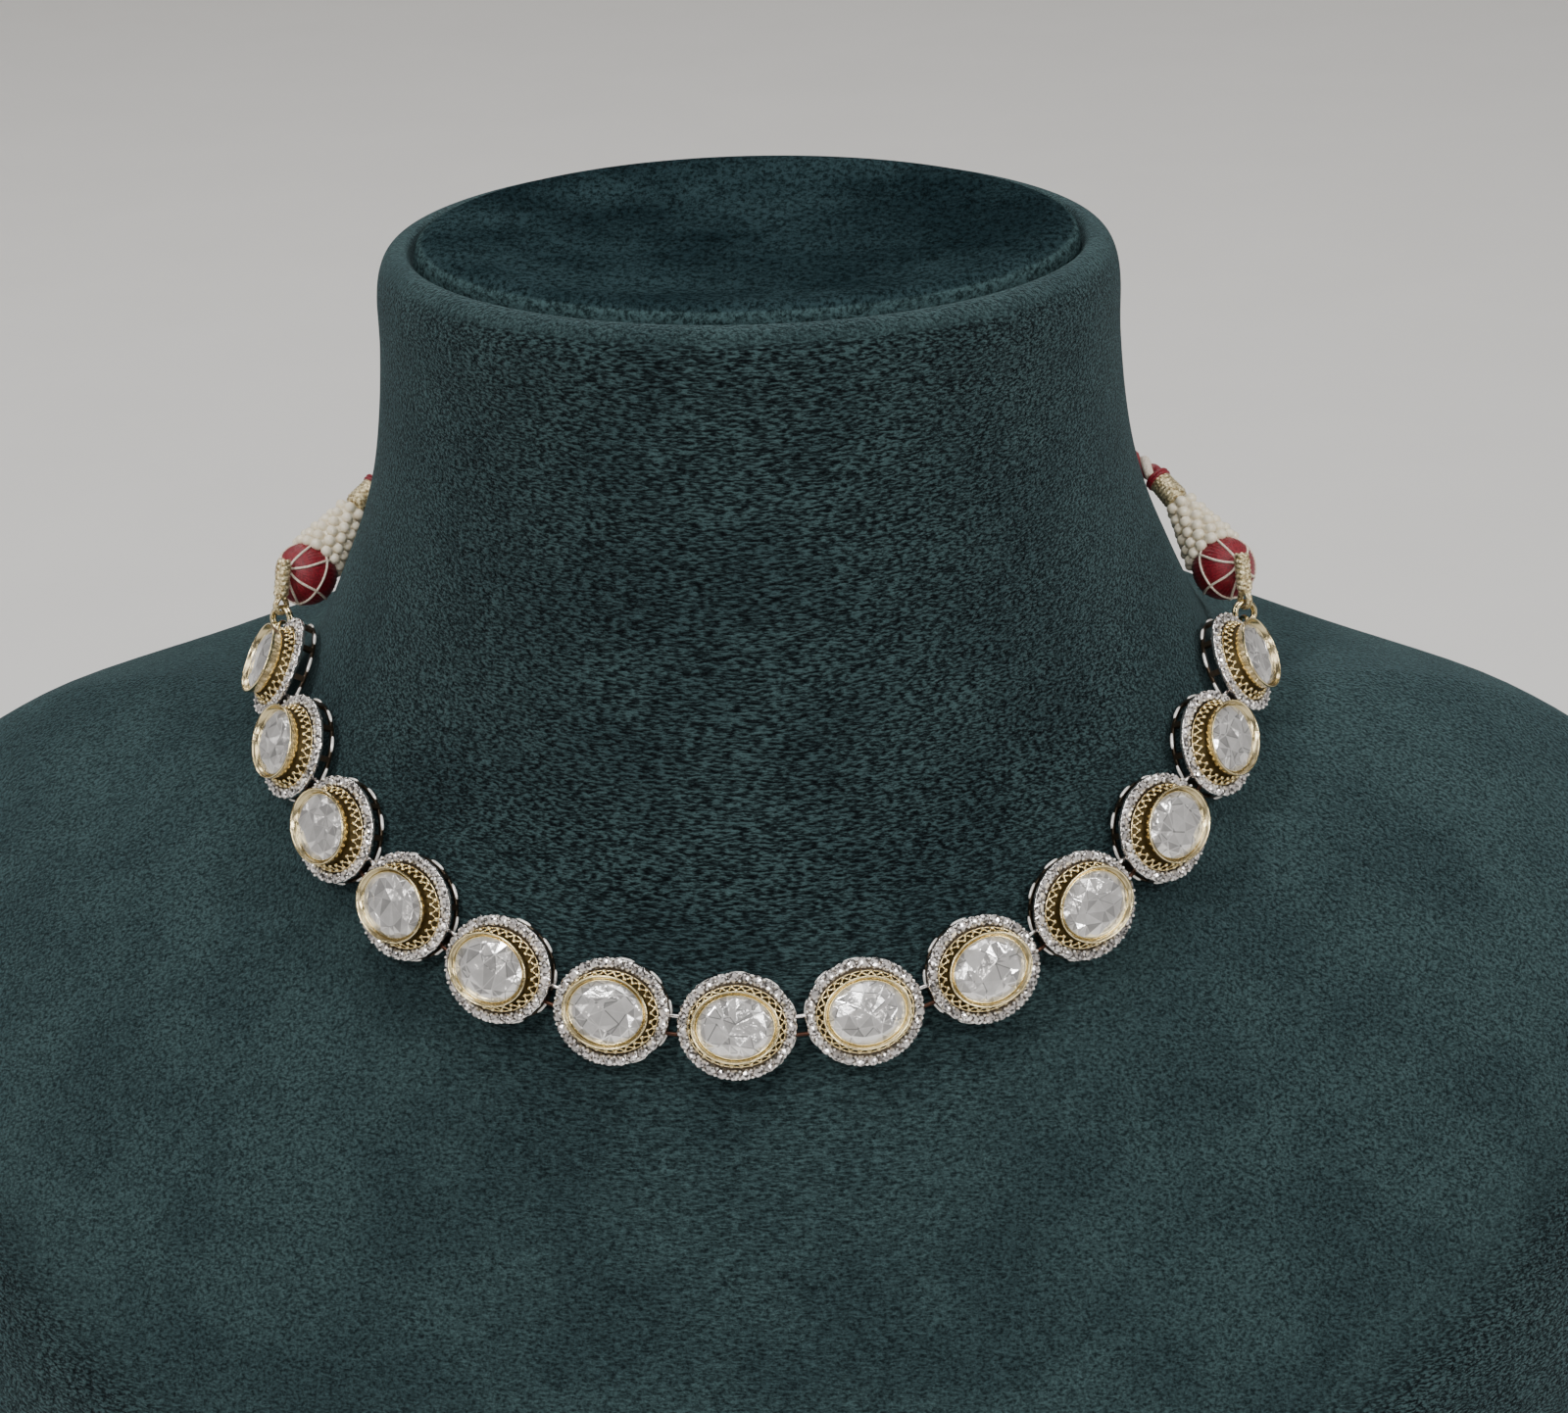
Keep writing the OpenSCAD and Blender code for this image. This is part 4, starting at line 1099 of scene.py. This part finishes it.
CONE_LEN = float(np.linalg.norm(cone_tip - ball_c))
CONE_SEED, CORE_R, CORE_START, CORE_MOUTH, CORE_TIP = 3, 0.1, 1.2, 0.8, 0.55
BEAD_FILL, BEAD_PITCH, BEAD_SQUASH = 1.12, 0.98, 0.86
BEAD_SIZES, BEAD_TURN, BEAD_OUT, BEAD_UP = (0.93, 1.04), 0.08, (-0.06, 0.04), 0.08


def cone_shape():
    """Rounds of seed beads on a thread core, each round shifted by half a bead."""
    shape = Shape()
    rng = random.Random(CONE_SEED)
    start = MOUTH_SHARE * BALL_D
    rows = int((CONE_LEN - start) / (NEST_SHARE * SEED_D))
    bead = SEED_D / 2 * BEAD_FILL
    core = [(CORE_R, CONE_LEN), (CONE_TIP_D / 2 - SEED_D * CORE_TIP, CONE_LEN),
            (CONE_D / 2 - SEED_D * CORE_MOUTH, start + CORE_START), (CORE_R, start + CORE_START)]
    turn = place_along(ball_c, cone_tip - ball_c, Z) @ Z_TO_X
    lathe(shape, core, 1.0, 24, m=turn)
    for k in range(rows):
        t = (k + 0.5) / rows
        radius = (CONE_D + (CONE_TIP_D - CONE_D) * t - SEED_D) / 2
        z = start + (CONE_LEN - start) * t
        count = int(2 * math.pi * radius / (SEED_D * BEAD_PITCH))
        for j in range(count):
            a = 2 * math.pi * (j + 0.5 * (k % 2) + rng.uniform(-BEAD_TURN, BEAD_TURN)) / count
            v, f = ball_mesh(bead * rng.uniform(*BEAD_SIZES), 12, 8, BEAD_SQUASH)
            out = (math.cos(a), math.sin(a), 0)
            c = np.array(out) * (radius + rng.uniform(*BEAD_OUT)) + (0, 0, z + rng.uniform(-BEAD_UP, BEAD_UP))
            shape.add(v, f, 0, True, turn @ place(c, out, (-out[1], out[0], 0), Z))
    return shape


WHIP_TURNS, WHIP_GROOVE, WHIP_BORE_R, NOSE_SHARE = 9, 0.16, 0.3, 0.8
TIP_THREAD_R, TIP_THREAD_IN, TIP_THREAD_PITCH = 0.27, 0.28, 0.5


def whipping_shape():
    """Pale gold thread wound round the cord, and two rounds of red thread at its end."""
    shape = Shape()
    way = whip_end - cone_tip
    length = float(np.linalg.norm(way))
    turn = place_along(cone_tip, way, Z) @ Z_TO_X
    tip_r = CORD_D / 2 + WHIP_WRAP
    profile = [(WHIP_BORE_R, WHIP_SHOW)]
    steps = WHIP_TURNS * TURN_STEPS
    for k in range(steps + 1):
        t = k / steps
        z = WHIP_SHOW + (length - WHIP_SHOW) * t
        edge = min(1, NOSE_SHARE + (z - WHIP_SHOW) / WHIP_NOSE * (1 - NOSE_SHARE))
        r = (WHIP_D / 2 + (tip_r - WHIP_D / 2) * t) * edge
        profile.append((r - WHIP_GROOVE + WHIP_GROOVE * abs(math.sin(math.pi * t * WHIP_TURNS)), z))
    profile.append((WHIP_BORE_R, length))
    lathe(shape, profile[::-1], 1.0, 36, m=turn)
    for k in range(2):
        z = length - TIP_THREAD_IN - TIP_THREAD_PITCH * k
        pts = [(x, y, z) for x, y, _ in circle(tip_r + THREAD_LIFT, 30)]
        tube(shape, pts, TIP_THREAD_R, 8, closed=True, mat=1, m=turn)
    return shape


# Columns: node, maker, materials, slot, and the word that the piece's name adds
STRING_PIECES = [
    ("end_ring", end_ring_shape, [GOLD], "gold", "double_wire"),
    ("braid", braid_shape, [PALE_GOLD_THREAD], "gold_thread", "plait"),
    ("ball", ball_shape, [RED_THREAD, CREAM_THREAD], "red_thread", "thread_wound"),
    ("cone", cone_shape, [BEADS], "cream_beads", "seed_beads"),
    ("whipping", whipping_shape, [PALE_GOLD_THREAD, RED_THREAD], "gold_thread", "wound"),
]
for node, make, materials, slot_name, word in STRING_PIECES:
    right = make()
    finish("%s_%s_right" % (node, word), right, materials, None, [node + "_right"])
    finish("%s_%s_left" % (node, word), mirrored(right), materials, None, [node + "_left"])

# Floor and lights

FLOOR_SIZE = 24.0  # metres
floor_mesh = bpy.data.meshes.new("floor")
h = FLOOR_SIZE / 2
floor_mesh.from_pydata([(-h, -h, 0), (h, -h, 0), (h, h, 0), (-h, h, 0)], [], [(0, 1, 2, 3)])
floor_mesh.materials.append(make_floor())
floor = add_object("floor", floor_mesh)

AIM = (0, -0.03, 0.11)
# Columns: name, place and size in metres, watts
LIGHTS = [
    ("overhead", (0.0, -0.35, 1.5), (0.9, 0.6), 6.5),
    ("key", (-0.5, -0.7, 0.95), (0.2, 0.2), 5.5),
    ("fill", (0.75, -0.55, 0.75), (0.2, 0.2), 4.5),
    ("front", (0.15, -1.1, 0.6), (0.3, 0.2), 2.6),
    ("back", (-0.2, 0.7, 0.9), (0.3, 0.2), 2.0),
]
for name, at, size, power in LIGHTS:
    light = bpy.data.lights.new(name, "AREA")
    light.shape = "RECTANGLE"
    light.size, light.size_y = size
    light.energy = power
    way = Vector(AIM) - Vector(at)
    add_object(name, light, Matrix.Translation(at) @ way.to_track_quat("-Z", "Y").to_matrix().to_4x4())

# Many small lamps overhead and all round, so that facets and polished metal sparkle.
# None is so low that a view from the side would show it.

LAMP_SCALE, LAMP_EDGE, LAMP_LOW, LAMP_POWER, ROOM_POWER = 3.6, (0.15, 0.21), (0.2, 0.26), 14.0, 0.1
STUDIO_COLOR = (1.0, 0.97, 0.94, 1)
world = bpy.data.worlds.new("studio")
world.use_nodes = True
nodes, links = world.node_tree.nodes, world.node_tree.links


def map_range(source, start, end, to_start, to_end):
    n = nodes.new("ShaderNodeMapRange")
    for key, value in (("From Min", start), ("From Max", end), ("To Min", to_start), ("To Max", to_end)):
        n.inputs[key].default_value = value
    links.new(source, n.inputs["Value"])
    return n.outputs["Result"]


direction = nodes.new("ShaderNodeTexCoord").outputs["Generated"]
lamps = nodes.new("ShaderNodeTexVoronoi")
lamps.inputs["Scale"].default_value = LAMP_SCALE
links.new(direction, lamps.inputs["Vector"])
parts = nodes.new("ShaderNodeSeparateXYZ")
links.new(direction, parts.inputs["Vector"])
lit = nodes.new("ShaderNodeMath")
lit.operation = "MULTIPLY"
links.new(map_range(lamps.outputs["Distance"], *LAMP_EDGE, 1, 0), lit.inputs[0])
links.new(map_range(parts.outputs["Z"], *LAMP_LOW, 0, 1), lit.inputs[1])
links.new(map_range(lit.outputs["Value"], 0, 1, ROOM_POWER, LAMP_POWER), nodes["Background"].inputs["Strength"])
nodes["Background"].inputs["Color"].default_value = STUDIO_COLOR
bpy.context.scene.world = world
